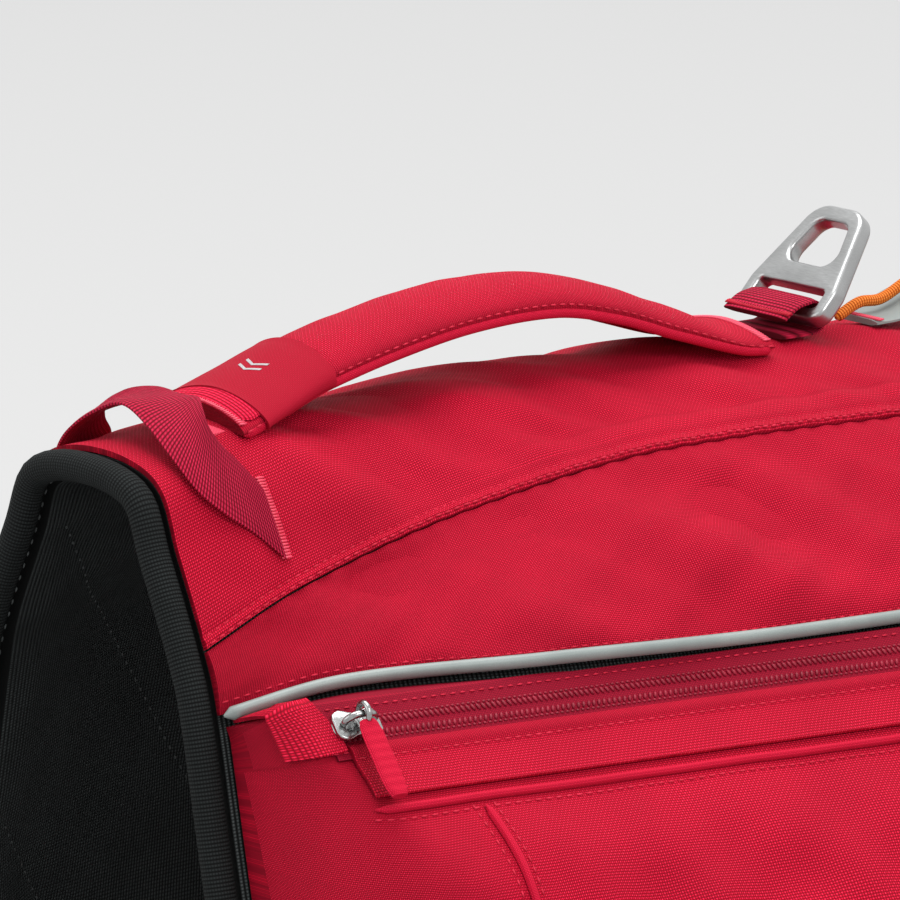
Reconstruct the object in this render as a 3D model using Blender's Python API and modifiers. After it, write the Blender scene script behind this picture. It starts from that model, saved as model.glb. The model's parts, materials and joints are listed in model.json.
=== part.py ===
"""Saddle daypack for a dog, standing on the flat bottoms of its two saddlebags.

+Z is up, -Y is the head end and +X the dog's left. All sizes are in metres. Inside the script y is
measured backwards from the saddle's front edge, and an empty moves the whole pack so that its box is
centred on the origin.
"""

import bisect
import functools
import math

import bmesh
import bpy
from mathutils import Matrix, Vector

# Overall sizes
SADDLE_LENGTH = 0.320  # front edge to rear edge
RIM_HEIGHT = 0.285  # top of the lining at the front edge
HEM_HEIGHT = 0.023  # lower edge of the lining
CHEST_REACH = 0.1165  # the chest strap's front, ahead of the saddle's front edge

# Layers of the saddle
LINING_THICKNESS = 0.008
PANEL_GAP = 0.0005
PANEL_THICKNESS = 0.0015
BINDING_RADIUS = 0.004
PIPING_RADIUS = 0.002
PIPING_LIFT = 0.0006  # room under the piping
SEAM_EDGE = 0.01  # share of a station left free at each side of a seam
TOUCH = 0.0004  # clearance between pieces that rest on each other

# Saddlebags
BAG_DEPTH = 0.078  # how far a bag stands out from its zip
BAG_END_GAP = 0.0015
BAG_END_RADIUS = 0.055
BAG_BOTTOM_RADIUS = 0.060
BAND_END_RADIUS = 0.006
BAG_LINING_GAP = 0.0016
BAG_TOP_GAP = 0.0006
ZIP_DROP = 0.0588  # the zip's centre below the rim
ZIP_SPREAD = 0.080  # the zip's centre from the middle, at ZIP_SPREAD_AT
ZIP_SPREAD_AT = 0.018
ZIP_SPLAY = 0.12  # the zips move apart by this much a metre towards the tail
BAND_HALF_WIDTH = 0.0085

# Zips
TAPE_HALF_WIDTH = 0.0075
TAPE_THICKNESS = 0.001
ZIP_FRONT = 0.0098
ZIP_REAR_MARGIN = 0.030
SLIDER_LENGTH = 0.013
SLIDER_WIDTH = 0.0085
SLIDER_BASE = 0.0022
CROWN_LENGTH = 0.010
CROWN_WIDTH = 0.002
CROWN_BAR = 0.0014
CROWN_WINDOW = (0.007, 0.0034)  # along and high
PULL_RING = (0.0026, 0.0008)  # ring radius and wire radius
PULL_GRIP = (0.007, 0.022, 0.0022)  # across, long and thick
SLIDER_STOP = 0.001  # the slider at rest, behind the tape's front end
POCKET_ZIP_MARGIN = 0.024
GARAGE_FRONT = 0.0022
GARAGE_THICKNESS = 0.0014

# Stash pockets
POCKET_DEPTH = 0.014
POCKET_EDGE = 0.002
POCKET_ROWS = (3.5, 6.0)  # bag stations that the pocket covers
POCKET_COLUMNS = (5, 13)  # bag rings that it covers, of BAG_RINGS
POCKET_ZIP_ROWS = (4.08, 4.42)

# Handle
HANDLE_FRONT = 0.030
HANDLE_WIDTH = 0.034
HANDLE_DROOP = 0.0025  # the edges hang this much below the middle
HANDLE_FLARE = 0.20  # the ends are wider by this share
HANDLE_SEAT = 0.20  # share of its length over which each end comes down onto the saddle
HANDLE_EDGE_GAP = 0.0012  # more room under the edges at the ends, where the saddle slopes
COVER_THICKNESS = 0.0012
FOAM_GAP = 0.0009
FOAM_SPAN = (0.05, 0.95)  # shares of the handle's length
PATCH_THICKNESS = 0.0008
PATCH_SPAN = (0.015, 0.175)  # shares of the handle's length

# Webbing and its hardware
WEBBING = 0.0016
STRAP_WIDTH = 0.020
LOOP_WIDTH = 0.019
TAB_WIDTH = 0.025
RING_REAR_MARGIN = 0.098  # the ring's hinge, ahead of the saddle's rear edge
RING_WIDTH = 0.034
RING_THICKNESS = 0.005
RING_BAR = 0.0035
RING_SLOT = (0.0265, 0.0058)
RING_CROSSBAR = 0.0066
RING_EYE_HEIGHT = 0.0138
RING_TOP_BAR = 0.0045
RING_LEAN = math.radians(43)
REAR_LOOP_SPAN = (0.074, 0.012)  # its ends, ahead of the rear edge
REAR_LOOP_RISE = 0.009
CORD_RADIUS = 0.0015

# Side-release buckles, along X with the mouth at 0 and the female half on the +X side
BUCKLE_WIDTH = 0.027
BUCKLE_HEIGHT = 0.0094
FEMALE_LENGTH = 0.028
CAVITY = (0.019, 0.021, 0.0058)
BAR_LENGTH = 0.003
BAR_THICKNESS = 0.005
WEB_SLOT = 0.004
WEB_SLOT_WIDTH = 0.0212
MALE_LENGTH = 0.022
PRONG_LENGTH = 0.017
TAIL = 0.014  # the end of the webbing that is sewn back

# Straps underneath and in front
STRAP_INSET = 0.0009  # between a strap and the lining's inner face, where the face curves
STRAP_TOP = 0.056  # upper end of the girth straps
CHEST_STRAP_TOP = 0.062
GIRTH_FRONT = 0.085
GIRTH_REAR_MARGIN = 0.105
GIRTH_MOUTH = 0.042  # the mouth of the girth buckles, from the middle
PAD_X = (-0.066, -0.006)
PAD_MARGINS = (0.060, 0.080)
PAD_THICKNESS = 0.0066
CHEST_X = 0.066
CHEST_MOUTH = -0.056
CHEST_PAD_HALF = 0.034
CHEST_PAD_THICKNESS = 0.007
CHEST_PAD_WIDTH = 0.024
CHEST_PAD_BOW = 0.0028  # the pad's ends bend back by this much
CHEST_PAD_GAP = 0.0008
CHEST_TAIL_CUT = 0.006  # the short chest strap's tail is cut shorter by this

# The lining's outer face as sections across the back, at the distances of SECTION_REACH behind the front
# edge and at the rear edge. UPPER_STATIONS has a row for each section: how far out and how far below the
# rim each station from the ridge to the piping is. LOWER_STATIONS has how far out those below it are, at
# LOWER_SHARES of the way down to the hem.
SECTION_REACH = (0.0, 0.030, 0.080, 0.150)
UPPER_STATIONS = (
    ((0, 0), (0.022, 0.0045), (0.031, 0.021), (0.042, 0.043), (0.0475, 0.0585)),
    ((0, -0.003), (0.021, 0.002), (0.032, 0.013), (0.0425, 0.031), (0.058, 0.0525)),
    ((0, -0.0042), (0.020, -0.0005), (0.033, 0.008), (0.044, 0.0185), (0.077, 0.0508)),
    ((0, -0.0050), (0.020, -0.0015), (0.033, 0.0045), (0.0445, 0.0105), (0.086, 0.0522)),
    ((0, 0), (0.019, 0.003), (0.032, 0.009), (0.044, 0.016), (0.098, 0.053)),
)
LOWER_STATIONS = (
    (0.056, 0.067, 0.077, 0.082),
    (0.070, 0.081, 0.087, 0.087),
    (0.086, 0.094, 0.097, 0.094),
    (0.094, 0.101, 0.104, 0.100),
    (0.105, 0.109, 0.110, 0.105),
)
LOWER_SHARES = (0.19, 0.42, 0.70, 1.0)
SEAM = 3  # station of the seam between spine and side panels
PIPING = 4
HEM = 8
BAG_TOP = 4.1
GRID_ALONG = 10

# The bag's outer face below its zip: how far out, as shares of BAG_DEPTH, and how high, as shares of
# the zip's height.
BAG_OUT = (0.51, 0.87, 1.0, 0.92, 0.58)
BAG_HIGH = (0.845, 0.66, 0.44, 0.20, 0.0)
BAG_RINGS = 18

# The handle's top above the red ridge and its thickness, at shares of its length.
HANDLE_STATIONS = (0, 0.1, 0.17, 0.29, 0.44, 0.6, 0.72, 0.83, 0.94, 1)
HANDLE_TOP = (0.0052, 0.0105, 0.015, 0.020, 0.0237, 0.024, 0.020, 0.0136, 0.0066, 0.0048)
HANDLE_THICK = (0.0040, 0.0058, 0.0074, 0.008, 0.008, 0.008, 0.008, 0.0075, 0.0054, 0.0040)
HANDLE_SEGMENTS = 20
RING_POINTS = 12

ZIP_HEIGHT = RIM_HEIGHT - ZIP_DROP
RING_Y = SADDLE_LENGTH - RING_REAR_MARGIN
HANDLE_REAR = RING_Y - 0.019
PANEL_TOP = PANEL_GAP + PANEL_THICKNESS
REAR_END = SADDLE_LENGTH + TOUCH + 2 * BINDING_RADIUS
TAB_FOLD = math.hypot(RING_BAR, RING_THICKNESS) / 2 + TOUCH + WEBBING / 2  # from the hinge to the webbing
FLOOR = 0.0005  # what lies lowest is this far above the ground


def clear_scene():
    for thing in list(bpy.data.objects):
        bpy.data.objects.remove(thing)


def material(name, colour, roughness, metallic=0.0):
    """A Principled material; the colour is an sRGB hex value."""
    mat = bpy.data.materials.new(name)
    mat.use_nodes = True
    shader = mat.node_tree.nodes["Principled BSDF"]
    channels = [int(colour[i : i + 2], 16) / 255 for i in (0, 2, 4)]
    linear = [c / 12.92 if c <= 0.04045 else ((c + 0.055) / 1.055) ** 2.4 for c in channels]
    shader.inputs["Base Color"].default_value = (*linear, 1)
    shader.inputs["Roughness"].default_value = roughness
    shader.inputs["Metallic"].default_value = metallic
    return mat


# ---------------------------------------------------------------- helpers


def add_object(name, data, mat, matrix=None, cutter=False):
    """An object in the pack's collection, or in the cutters' one, under the pack's empty."""
    thing = bpy.data.objects.new(name, data)
    if mat:
        data.materials.append(mat)
    (CUTTERS if cutter else PACK).objects.link(thing)
    thing.parent = BASE
    if matrix:
        thing.matrix_basis = matrix
    if cutter:
        thing.hide_render = True
        thing.display_type = "WIRE"
    return thing


def mesh_object(name, bm, mat, matrix=None, cutter=False):
    bmesh.ops.recalc_face_normals(bm, faces=bm.faces)
    if bm.calc_volume(signed=True) < 0:
        bmesh.ops.reverse_faces(bm, faces=bm.faces)
    mesh = bpy.data.meshes.new(name)
    bm.to_mesh(mesh)
    bm.free()
    return add_object(name, mesh, mat, matrix, cutter)


def box(name, size, centre, mat, matrix=None, cutter=False):
    """A box in the object's own axes."""
    bm = bmesh.new()
    place = Matrix.Translation(centre) @ Matrix.Diagonal((*size, 1))
    bmesh.ops.create_cube(bm, size=1, matrix=place)
    return mesh_object(name, bm, mat, matrix, cutter)


def combine(target, other, operation):
    modifier = target.modifiers.new(other.name, "BOOLEAN")
    modifier.operation = operation
    modifier.object = other


def slab(name, place, along, across, mat):
    """A closed sheet: place(a, b, c) bends a unit box, with a and b in its plane and c through it."""
    bm = bmesh.new()
    bmesh.ops.create_grid(bm, x_segments=along, y_segments=across, size=0.5)
    lifted = bmesh.ops.extrude_face_region(bm, geom=bm.faces[:])["geom"]
    for vert in (v for v in lifted if isinstance(v, bmesh.types.BMVert)):
        vert.co.z = 1
    for vert in bm.verts:
        vert.co = place(vert.co.x + 0.5, vert.co.y + 0.5, vert.co.z)
    return mesh_object(name, bm, mat)


def sleeve(name, place, along, around, mat):
    """A slab whose b runs all the way round, so that its two edges meet and are one."""
    bm = bmesh.new()
    bmesh.ops.create_grid(bm, x_segments=along, y_segments=around, size=0.5)
    lifted = bmesh.ops.extrude_face_region(bm, geom=bm.faces[:])["geom"]
    for vert in (v for v in lifted if isinstance(v, bmesh.types.BMVert)):
        vert.co.z = 1
    edges = [f for f in bm.faces if all(abs(abs(v.co.y) - 0.5) < 1e-5 for v in f.verts)]
    bmesh.ops.delete(bm, geom=edges, context="FACES_ONLY")
    for vert in bm.verts:
        vert.co = place(vert.co.x + 0.5, vert.co.y + 0.5, vert.co.z)
    bmesh.ops.remove_doubles(bm, verts=bm.verts, dist=0.00001)
    return mesh_object(name, bm, mat)


def tube(name, points, radius, mat):
    """A round tube along points, with closed ends."""
    curve = bpy.data.curves.new(name, "CURVE")
    curve.dimensions = "3D"
    curve.bevel_depth = radius
    curve.bevel_resolution = 2
    curve.use_fill_caps = True
    spline = curve.splines.new("POLY")
    spline.points.add(len(points) - 1)
    for target, point in zip(spline.points, points):
        target.co = (*point, 1)
    return add_object(name, curve, mat)


def plate(name, outlines, thickness, mat, matrix):
    """A flat plate in the object's own XY plane; the outlines after the first are holes."""
    curve = bpy.data.curves.new(name, "CURVE")
    curve.dimensions = "2D"
    curve.fill_mode = "BOTH"
    curve.extrude = thickness / 2
    for outline in outlines:
        spline = curve.splines.new("POLY")
        spline.points.add(len(outline) - 1)
        for target, point in zip(spline.points, outline):
            target.co = (*point, 0, 1)
        spline.use_cyclic_u = True
    return add_object(name, curve, mat, matrix)


def rounded(corners, radius, steps=4):
    """A closed outline whose corners are turned into arcs."""
    outline = []
    for i, corner in enumerate(corners):
        here = Vector(corner)
        before = Vector(corners[i - 1]) - here
        after = Vector(corners[(i + 1) % len(corners)]) - here
        half = before.angle(after) / 2
        setback = min(radius / math.tan(half), 0.45 * before.length, 0.45 * after.length)
        centre = here + (before.normalized() + after.normalized()).normalized() * (
            setback / math.cos(half)
        )
        start = here + before.normalized() * setback - centre
        end = here + after.normalized() * setback - centre
        turn = start.angle_signed(end)
        for step in range(steps + 1):
            angle = -turn * step / steps
            outline.append(centre + Matrix.Rotation(angle, 2) @ start)
    return outline


def webbing(name, route, width, thickness, wide, mat):
    """A flat strap along route; wide is the way its width lies, one vector or one for each point."""
    last = len(route) - 1
    route = [Vector(point) for point in route]
    wides = [Vector(w).normalized() for w in (wide if len(wide) == len(route) else [wide] * (last + 1))]
    runs = [(route[i + 1] - route[i]).normalized() for i in range(last)]

    def place(a, b, c):
        i = round(a * last)
        before, after = runs[max(i - 1, 0)], runs[min(i, last - 1)]
        faces = [wides[i].cross(run).normalized() for run in (before, after)]
        mitre = (faces[0] + faces[1]) / (1 + faces[0].dot(faces[1]))
        return route[i] + wides[i] * (b - 0.5) * width + mitre * (c - 0.5) * thickness

    return slab(name, place, last, 1, mat)


def mirrored(source, name):
    """The same piece on the dog's right."""
    graph = bpy.context.evaluated_depsgraph_get()
    mesh = bpy.data.meshes.new_from_object(source.evaluated_get(graph))
    flip = Matrix.Scale(-1, 4, (1, 0, 0))
    bm = bmesh.new()
    bm.from_mesh(mesh)
    bmesh.ops.remove_doubles(bm, verts=bm.verts, dist=0.000001)
    centre = flip @ source.location
    to_own_axes = Matrix.Translation(-centre)
    bmesh.ops.transform(bm, matrix=to_own_axes @ flip @ source.matrix_basis, verts=bm.verts)
    bmesh.ops.reverse_faces(bm, faces=bm.faces)
    bm.to_mesh(mesh)
    bm.free()
    mesh.name = name
    copy = bpy.data.objects.new(name, mesh)
    PACK.objects.link(copy)
    copy.parent = BASE
    copy.location = centre
    return copy


def hermite(knots, values, t):
    """A smooth curve through values at uneven knots."""
    last = len(knots) - 1
    t = min(max(t, knots[0]), knots[-1])
    i = min(bisect.bisect_right(knots, t) - 1, last - 1)

    def slope(j):
        low, high = max(0, j - 1), min(last, j + 1)
        return (values[high] - values[low]) / (knots[high] - knots[low])

    step = knots[i + 1] - knots[i]
    u = (t - knots[i]) / step
    rise = values[i + 1] - values[i]
    ease = 3 * u**2 - 2 * u**3
    enter = (u**3 - 2 * u**2 + u) * step * slope(i)
    leave = (u**3 - u**2) * step * slope(i + 1)
    return values[i] + rise * ease + enter + leave


def smooth_route(points, steps):
    """Points read from a smooth curve through the given ones."""
    points = [Vector(point) for point in points]
    knots = list(range(len(points)))
    count = (len(points) - 1) * steps
    return [hermite(knots, points, i / steps) for i in range(count + 1)]


# ---------------------------------------------------------------- the saddle's surface


@functools.lru_cache(maxsize=None)
def section(y):
    """How far out and how high each station is, at a distance behind the front edge."""
    rows = [*SECTION_REACH, SADDLE_LENGTH]
    outs, heights = [], []
    for station in range(PIPING + 1):
        outs.append(hermite(rows, [row[station][0] for row in UPPER_STATIONS], y))
        drop = hermite(rows, [row[station][1] for row in UPPER_STATIONS], y)
        heights.append(RIM_HEIGHT - drop)
    for station, share in enumerate(LOWER_SHARES):
        outs.append(hermite(rows, [row[station] for row in LOWER_STATIONS], y))
        heights.append(heights[PIPING] + share * (HEM_HEIGHT - heights[PIPING]))
    return outs, heights


def lining_at(y, s):
    """How far out and how high the lining's outer face is; s below 0 is the dog's right."""
    outs, heights = section(y)
    stations = list(range(-HEM, HEM + 1))
    out = hermite(stations, [-v for v in outs[:0:-1]] + outs, s)
    height = hermite(stations, heights[:0:-1] + heights, s)
    return out, height


def saddle(y, s, lift=0.0):
    """A point on the lining's outer face, lifted along its normal."""
    step = 0.001
    out, height = lining_at(y, s)
    low_s, high_s = lining_at(y, s - step), lining_at(y, s + step)
    low_y, high_y = lining_at(y - step, s), lining_at(y + step, s)
    down = Vector((high_s[0] - low_s[0], 0, high_s[1] - low_s[1]))
    back = Vector((high_y[0] - low_y[0], 2 * step, high_y[1] - low_y[1]))
    return Vector((out, y, height)) + down.cross(back).normalized() * lift


@functools.lru_cache(maxsize=None)
def lining_out(y, height):
    """How far out the lining's face is at a height below the piping."""
    low, high = PIPING, HEM
    for _ in range(30):
        middle = (low + high) / 2
        if lining_at(y, middle)[1] > height:
            low = middle
        else:
            high = middle
    return lining_at(y, low)[0]


def ridge(y, lift=0.0):
    """Height of the red ridge."""
    return lining_at(y, 0)[1] + PANEL_TOP + lift


def saddle_sheet(name, stations, lifts, along, across, mat, ends=(0.0, 0.0)):
    """A sheet that follows the saddle between two stations and two lifts."""

    def place(a, b, c):
        y = ends[0] + (SADDLE_LENGTH - ends[0] - ends[1]) * a
        s = stations[0] + (stations[1] - stations[0]) * b
        return saddle(y, s, lifts[0] + (lifts[1] - lifts[0]) * c)

    return slab(name, place, along, across, mat)


def make_saddle():
    saddle_sheet("saddle_lining", (-HEM, HEM), (-LINING_THICKNESS, 0), GRID_ALONG, 4 * HEM, CHARCOAL)
    lifts = (PANEL_GAP, PANEL_TOP)
    span = (-SEAM + SEAM_EDGE, SEAM - SEAM_EDGE)
    saddle_sheet("spine_panel", span, lifts, GRID_ALONG, 4 * SEAM, RED)
    span = (SEAM + SEAM_EDGE, PIPING - SEAM_EDGE)
    left = saddle_sheet("side_panel_left", span, lifts, GRID_ALONG, 2, RED)
    mirrored(left, "side_panel_right")

    inset = BINDING_RADIUS - PANEL_TOP / 2 - TOUCH
    count = 4 * HEM
    for name, y in (
        ("front_binding", -BINDING_RADIUS - TOUCH),
        ("rear_binding", SADDLE_LENGTH + BINDING_RADIUS + TOUCH),
    ):
        edge_y = min(max(y, 0), SADDLE_LENGTH)
        points = []
        for i in range(count + 1):
            point = saddle(edge_y, -HEM + 2 * HEM * i / count, -inset)
            points.append((point.x, y, point.z))
        tube(name, points, BINDING_RADIUS, CHARCOAL)

    lift = PANEL_TOP + PIPING_RADIUS + PIPING_LIFT
    steps = 26
    points = [saddle(SADDLE_LENGTH * i / steps, PIPING, lift) for i in range(steps + 1)]
    mirrored(tube("piping_left", points, PIPING_RADIUS, SILVER), "piping_right")


# ---------------------------------------------------------------- saddlebags and zips


def zip_centre(y):
    spread = ZIP_SPREAD + ZIP_SPLAY * (y - ZIP_SPREAD_AT)
    return Vector((spread, y, ZIP_HEIGHT))


def band_frame(y, lift=0.0):
    """Axes on the left zip band: X along the zip, Y up across it, Z out of it."""
    along = Vector((ZIP_SPLAY, 1, 0)).normalized()
    across = Vector((1, 0, -1)).normalized()
    out = across.cross(along).normalized()
    turn = Matrix((along, out.cross(along), out)).transposed().to_4x4()
    return Matrix.Translation(zip_centre(y) + out * lift) @ turn


def bag_ring(share):
    """The bag's rings stand closer together towards its ends."""
    length = SADDLE_LENGTH - 2 * BAG_END_GAP
    return BAG_END_GAP + length * (1 - math.cos(math.pi * share)) / 2


def from_end(y):
    """Distance from the nearer end of the bag."""
    return max(min(y - BAG_END_GAP, SADDLE_LENGTH - BAG_END_GAP - y), 0)


def quarter_round(distance, radius):
    """Rises from 0 to 1 along a quarter circle."""
    return math.sqrt(1 - (1 - min(distance / radius, 1)) ** 2)


def raised(y, height):
    """A height in the bag, lifted near its ends where the bottom corners are round."""
    lift = BAG_BOTTOM_RADIUS * (1 - quarter_round(from_end(y), BAG_BOTTOM_RADIUS))
    shoulder = ZIP_HEIGHT * BAG_HIGH[0]
    return lift + height * (1 - lift / shoulder) if height < shoulder else height


def bag_inner(y, k):
    """The bag's face towards the dog at station k, from 0 at the piping to 7 at the floor."""
    top = lining_at(y, BAG_TOP)[1]
    heights = [top, top - 0.003, top - 0.011, *(ZIP_HEIGHT * share for share in BAG_HIGH)]
    height = raised(y, hermite(list(range(8)), heights, k))
    gap = BAG_TOP_GAP + (BAG_LINING_GAP - BAG_TOP_GAP) * min(k, 1)
    return Vector((lining_out(y, height) + gap, y, height))


def bag_outer(y, k):
    """The bag's outer face at station k; between 1 and 2 it is the flat band under the zip."""
    across = Vector((1, 0, -1)).normalized() * BAND_HALF_WIDTH
    centre = zip_centre(y)
    knots = [saddle(y, BAG_TOP, PANEL_TOP), centre - across, centre + across]
    for out, high in zip(BAG_OUT, BAG_HIGH):
        knots.append(Vector((centre.x + out * BAG_DEPTH, y, ZIP_HEIGHT * high)))
    if k <= 2:
        low = min(int(k), 1)
        full = knots[low].lerp(knots[low + 1], k - low)
    else:
        full = hermite(list(range(8)), knots, k)
    full.z = raised(y, full.z)
    radius = BAND_END_RADIUS
    if k > 2:
        radius += (BAG_END_RADIUS - BAND_END_RADIUS) * min((k - 2) / 2, 1)
    inner = bag_inner(y, k)
    thin = 0.12 if k > 2 else 0.25
    share = thin + (1 - thin) * quarter_round(from_end(y), radius)
    if k == 0:
        share = 1
    return inner.lerp(full, share)


def bag_surface(y, k, lift):
    """A point on the bag's outer face, lifted along its normal."""
    step = 0.002
    down = bag_outer(y, k + step) - bag_outer(y, k - step)
    back = bag_outer(y + step, k) - bag_outer(y - step, k)
    return bag_outer(y, k) + down.cross(back).normalized() * lift


def make_bag():
    def place(a, b, c):
        y = bag_ring(a)
        k = 7 * b
        return bag_outer(y, k) if c else bag_inner(y, k)

    mirrored(slab("saddlebag_left", place, BAG_RINGS, 14, RED), "saddlebag_right")

    first, last = POCKET_COLUMNS
    low, high = POCKET_ROWS
    rows = round((high - low) * 2)

    def place_pocket(a, b, c):
        y = bag_ring((first + (last - first) * a) / BAG_RINGS)
        k = low + (high - low) * b
        rim = a in (0, 1) or b in (0, 1)
        depth = POCKET_EDGE if rim else POCKET_DEPTH
        return bag_surface(y, k, TOUCH + depth * c)

    pocket = slab("stash_pocket_left", place_pocket, last - first, rows, RED)
    mirrored(pocket, "stash_pocket_right")


def pocket_frame(y, lift=0.0):
    """Axes on the left pocket's face at its zip: X along, Y up across it, Z out of it."""
    k = sum(POCKET_ZIP_ROWS) / 2
    along = Vector((ZIP_SPLAY, 1, 0)).normalized()
    upper, lower = (bag_surface(y, row, POCKET_DEPTH) for row in POCKET_ZIP_ROWS)
    out = (lower - upper).cross(along).normalized()
    turn = Matrix((along, out.cross(along), out)).transposed().to_4x4()
    centre = bag_surface(y, k, POCKET_DEPTH + TOUCH)
    return Matrix.Translation(centre + out * lift) @ turn


def make_zip(prefix, frame, front, rear, rest):
    """Tape, slider and pull on a flat band, the slider closed at its front end."""
    middle = (front + rear) / 2
    scale = math.hypot(1, ZIP_SPLAY)
    size = ((rear - front) * scale, 2 * TAPE_HALF_WIDTH, TAPE_THICKNESS)
    tape = box(
        prefix + "_zip_left", size, (0, 0, 0), WINE, frame(middle, TOUCH + TAPE_THICKNESS / 2)
    )
    mirrored(tape, prefix + "_zip_right")

    top = 2 * TOUCH + TAPE_THICKNESS
    window_long, window_high = CROWN_WINDOW
    crown_high = window_high + CROWN_BAR
    overlap = 0.0004
    base_size = (SLIDER_LENGTH, SLIDER_WIDTH, SLIDER_BASE)
    slider = box(prefix + "_slider_left", base_size, (0, 0, SLIDER_BASE / 2), METAL, frame(rest, top))
    crown = box(
        prefix + "_crown",
        (CROWN_LENGTH, CROWN_WIDTH, crown_high + overlap),
        (0, 0, SLIDER_BASE + (crown_high - overlap) / 2),
        None,
        frame(rest, top),
        cutter=True,
    )
    window = box(
        prefix + "_crown_window",
        (window_long, 2 * CROWN_WIDTH, window_high),
        (0, 0, SLIDER_BASE + window_high / 2),
        None,
        frame(rest, top),
        cutter=True,
    )
    combine(slider, crown, "UNION")
    combine(slider, window, "DIFFERENCE")
    bpy.context.view_layer.update()
    mirrored(slider, prefix + "_slider_right")

    hinge = frame(rest, top + SLIDER_BASE + window_high + CROWN_BAR / 2)
    ring_radius, wire = PULL_RING
    grip_wide, grip_long, grip_thick = PULL_GRIP
    bpy.ops.mesh.primitive_torus_add(
        major_segments=14, minor_segments=6, major_radius=ring_radius, minor_radius=wire
    )
    ring = bpy.context.active_object
    mesh = ring.data
    bpy.data.objects.remove(ring)
    mesh.transform(Matrix.Rotation(math.radians(90), 4, "Y"))
    pull = add_object(prefix + "_pull_left", mesh, METAL, hinge)
    grip = box(
        prefix + "_grip",
        (grip_wide, grip_long, grip_thick),
        (0, -ring_radius - grip_long / 2, 0),
        None,
        hinge,
        cutter=True,
    )
    combine(pull, grip, "UNION")
    bpy.context.view_layer.update()
    mirrored(pull, prefix + "_pull_right")


def make_zips():
    rest = ZIP_FRONT + SLIDER_LENGTH / 2 + SLIDER_STOP
    make_zip("main", band_frame, ZIP_FRONT, SADDLE_LENGTH - ZIP_REAR_MARGIN, rest)
    first, last = (bag_ring(column / BAG_RINGS) for column in POCKET_COLUMNS)
    front, rear = first + POCKET_ZIP_MARGIN, last - POCKET_ZIP_MARGIN
    make_zip("pocket", pocket_frame, front, rear, front + SLIDER_LENGTH / 2 + SLIDER_STOP)

    length = ZIP_FRONT - TOUCH - GARAGE_FRONT
    size = (length, 2 * TAPE_HALF_WIDTH, GARAGE_THICKNESS)
    place = band_frame(GARAGE_FRONT + length / 2, TOUCH + GARAGE_THICKNESS / 2)
    garage = box("zip_garage_left", size, (0, 0, 0), RED, place)
    mirrored(garage, "zip_garage_right")


# ---------------------------------------------------------------- handle


@functools.lru_cache(maxsize=None)
def fall(y, out):
    """How far the saddle's face at a distance from the middle is below the ridge."""
    low, high = 0, SEAM
    for _ in range(30):
        middle = (low + high) / 2
        if lining_at(y, middle)[0] < out:
            low = middle
        else:
            high = middle
    return lining_at(y, 0)[1] - lining_at(y, low)[1]


def handle_ring(share, angle, inset):
    """A point of the handle's round section, inset from its outer face; angle 90 degrees is on top."""
    y = HANDLE_FRONT + (HANDLE_REAR - HANDLE_FRONT) * share
    top = hermite(HANDLE_STATIONS, HANDLE_TOP, share)
    thick = hermite(HANDLE_STATIONS, HANDLE_THICK, share)
    seated = max(1 - min(share, 1 - share) / HANDLE_SEAT, 0)
    seated = seated**2 * (3 - 2 * seated)
    half_wide = HANDLE_WIDTH / 2 * (1 + HANDLE_FLARE * seated)
    x = (half_wide - inset) * math.cos(angle)
    sine = math.sin(angle)
    rise = (thick / 2 - inset) * math.copysign(abs(sine) ** 0.8, sine)
    edge = (x / half_wide) ** 2
    droop = HANDLE_DROOP * edge * (1 - seated) + (fall(y, abs(x)) - HANDLE_EDGE_GAP * edge) * seated
    return Vector((x, y, ridge(y, top - thick / 2 - droop + rise)))


def make_handle():
    def place_cover(a, b, c):
        return handle_ring(a, 2 * math.pi * b, COVER_THICKNESS * (1 - c))

    sleeve("handle_cover", place_cover, HANDLE_SEGMENTS, RING_POINTS, RED)

    def place_foam(a, b, c):
        angle = math.radians(170 - 160 * b)
        inset = COVER_THICKNESS + FOAM_GAP
        share = FOAM_SPAN[0] + (FOAM_SPAN[1] - FOAM_SPAN[0]) * a
        return handle_ring(share, angle if c else -angle, inset)

    slab("handle_foam", place_foam, HANDLE_SEGMENTS, RING_POINTS // 2, CHARCOAL)

    def place_patch(a, b, c):
        share = PATCH_SPAN[0] + (PATCH_SPAN[1] - PATCH_SPAN[0]) * a
        angle = math.radians(-30 + 240 * b)
        return handle_ring(share, angle, -TOUCH - PATCH_THICKNESS * c)

    slab("handle_patch", place_patch, 4, 8, WINE)


# ---------------------------------------------------------------- loops, ring and cord on the spine


def make_front_loop():
    """Webbing from one side of the seam behind the rim, forwards and over the spine to the other."""
    seat = saddle(0.027, 2.18, PANEL_TOP + 0.0014)
    half = (
        (seat, (0.50, 0, -0.86)),
        ((0.0317, 0.0220, RIM_HEIGHT - 0.0085), (0.50, -0.12, -0.85)),
        ((0.0292, 0.0165, RIM_HEIGHT - 0.0035), (0.50, -0.30, -0.80)),
        ((0.0255, 0.0130, RIM_HEIGHT + 0.0015), (0.46, -0.52, -0.72)),
        ((0.0190, 0.0130, RIM_HEIGHT + 0.0070), (0.36, -0.76, -0.54)),
        ((0.0100, 0.0150, RIM_HEIGHT + 0.0110), (0.17, -0.96, -0.25)),
        ((0, 0.0160, RIM_HEIGHT + 0.0125), (0, -1, 0)),
    )
    right = [((-p[0], p[1], p[2]), (-w[0], w[1], w[2])) for p, w in half[-2::-1]]
    points = [Vector(p) for p, _ in half] + [Vector(p) for p, _ in right]
    wides = [Vector(w) for _, w in half] + [Vector(w) for _, w in right]
    webbing(
        "front_loop", smooth_route(points, 2), LOOP_WIDTH, WEBBING, smooth_route(wides, 2), DARK_WINE
    )


def ring_axis():
    """The ring's hinge, in the fold of its webbing tab."""
    return Vector((0, RING_Y, ridge(RING_Y) + TOUCH + WEBBING / 2 + TAB_FOLD))


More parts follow.
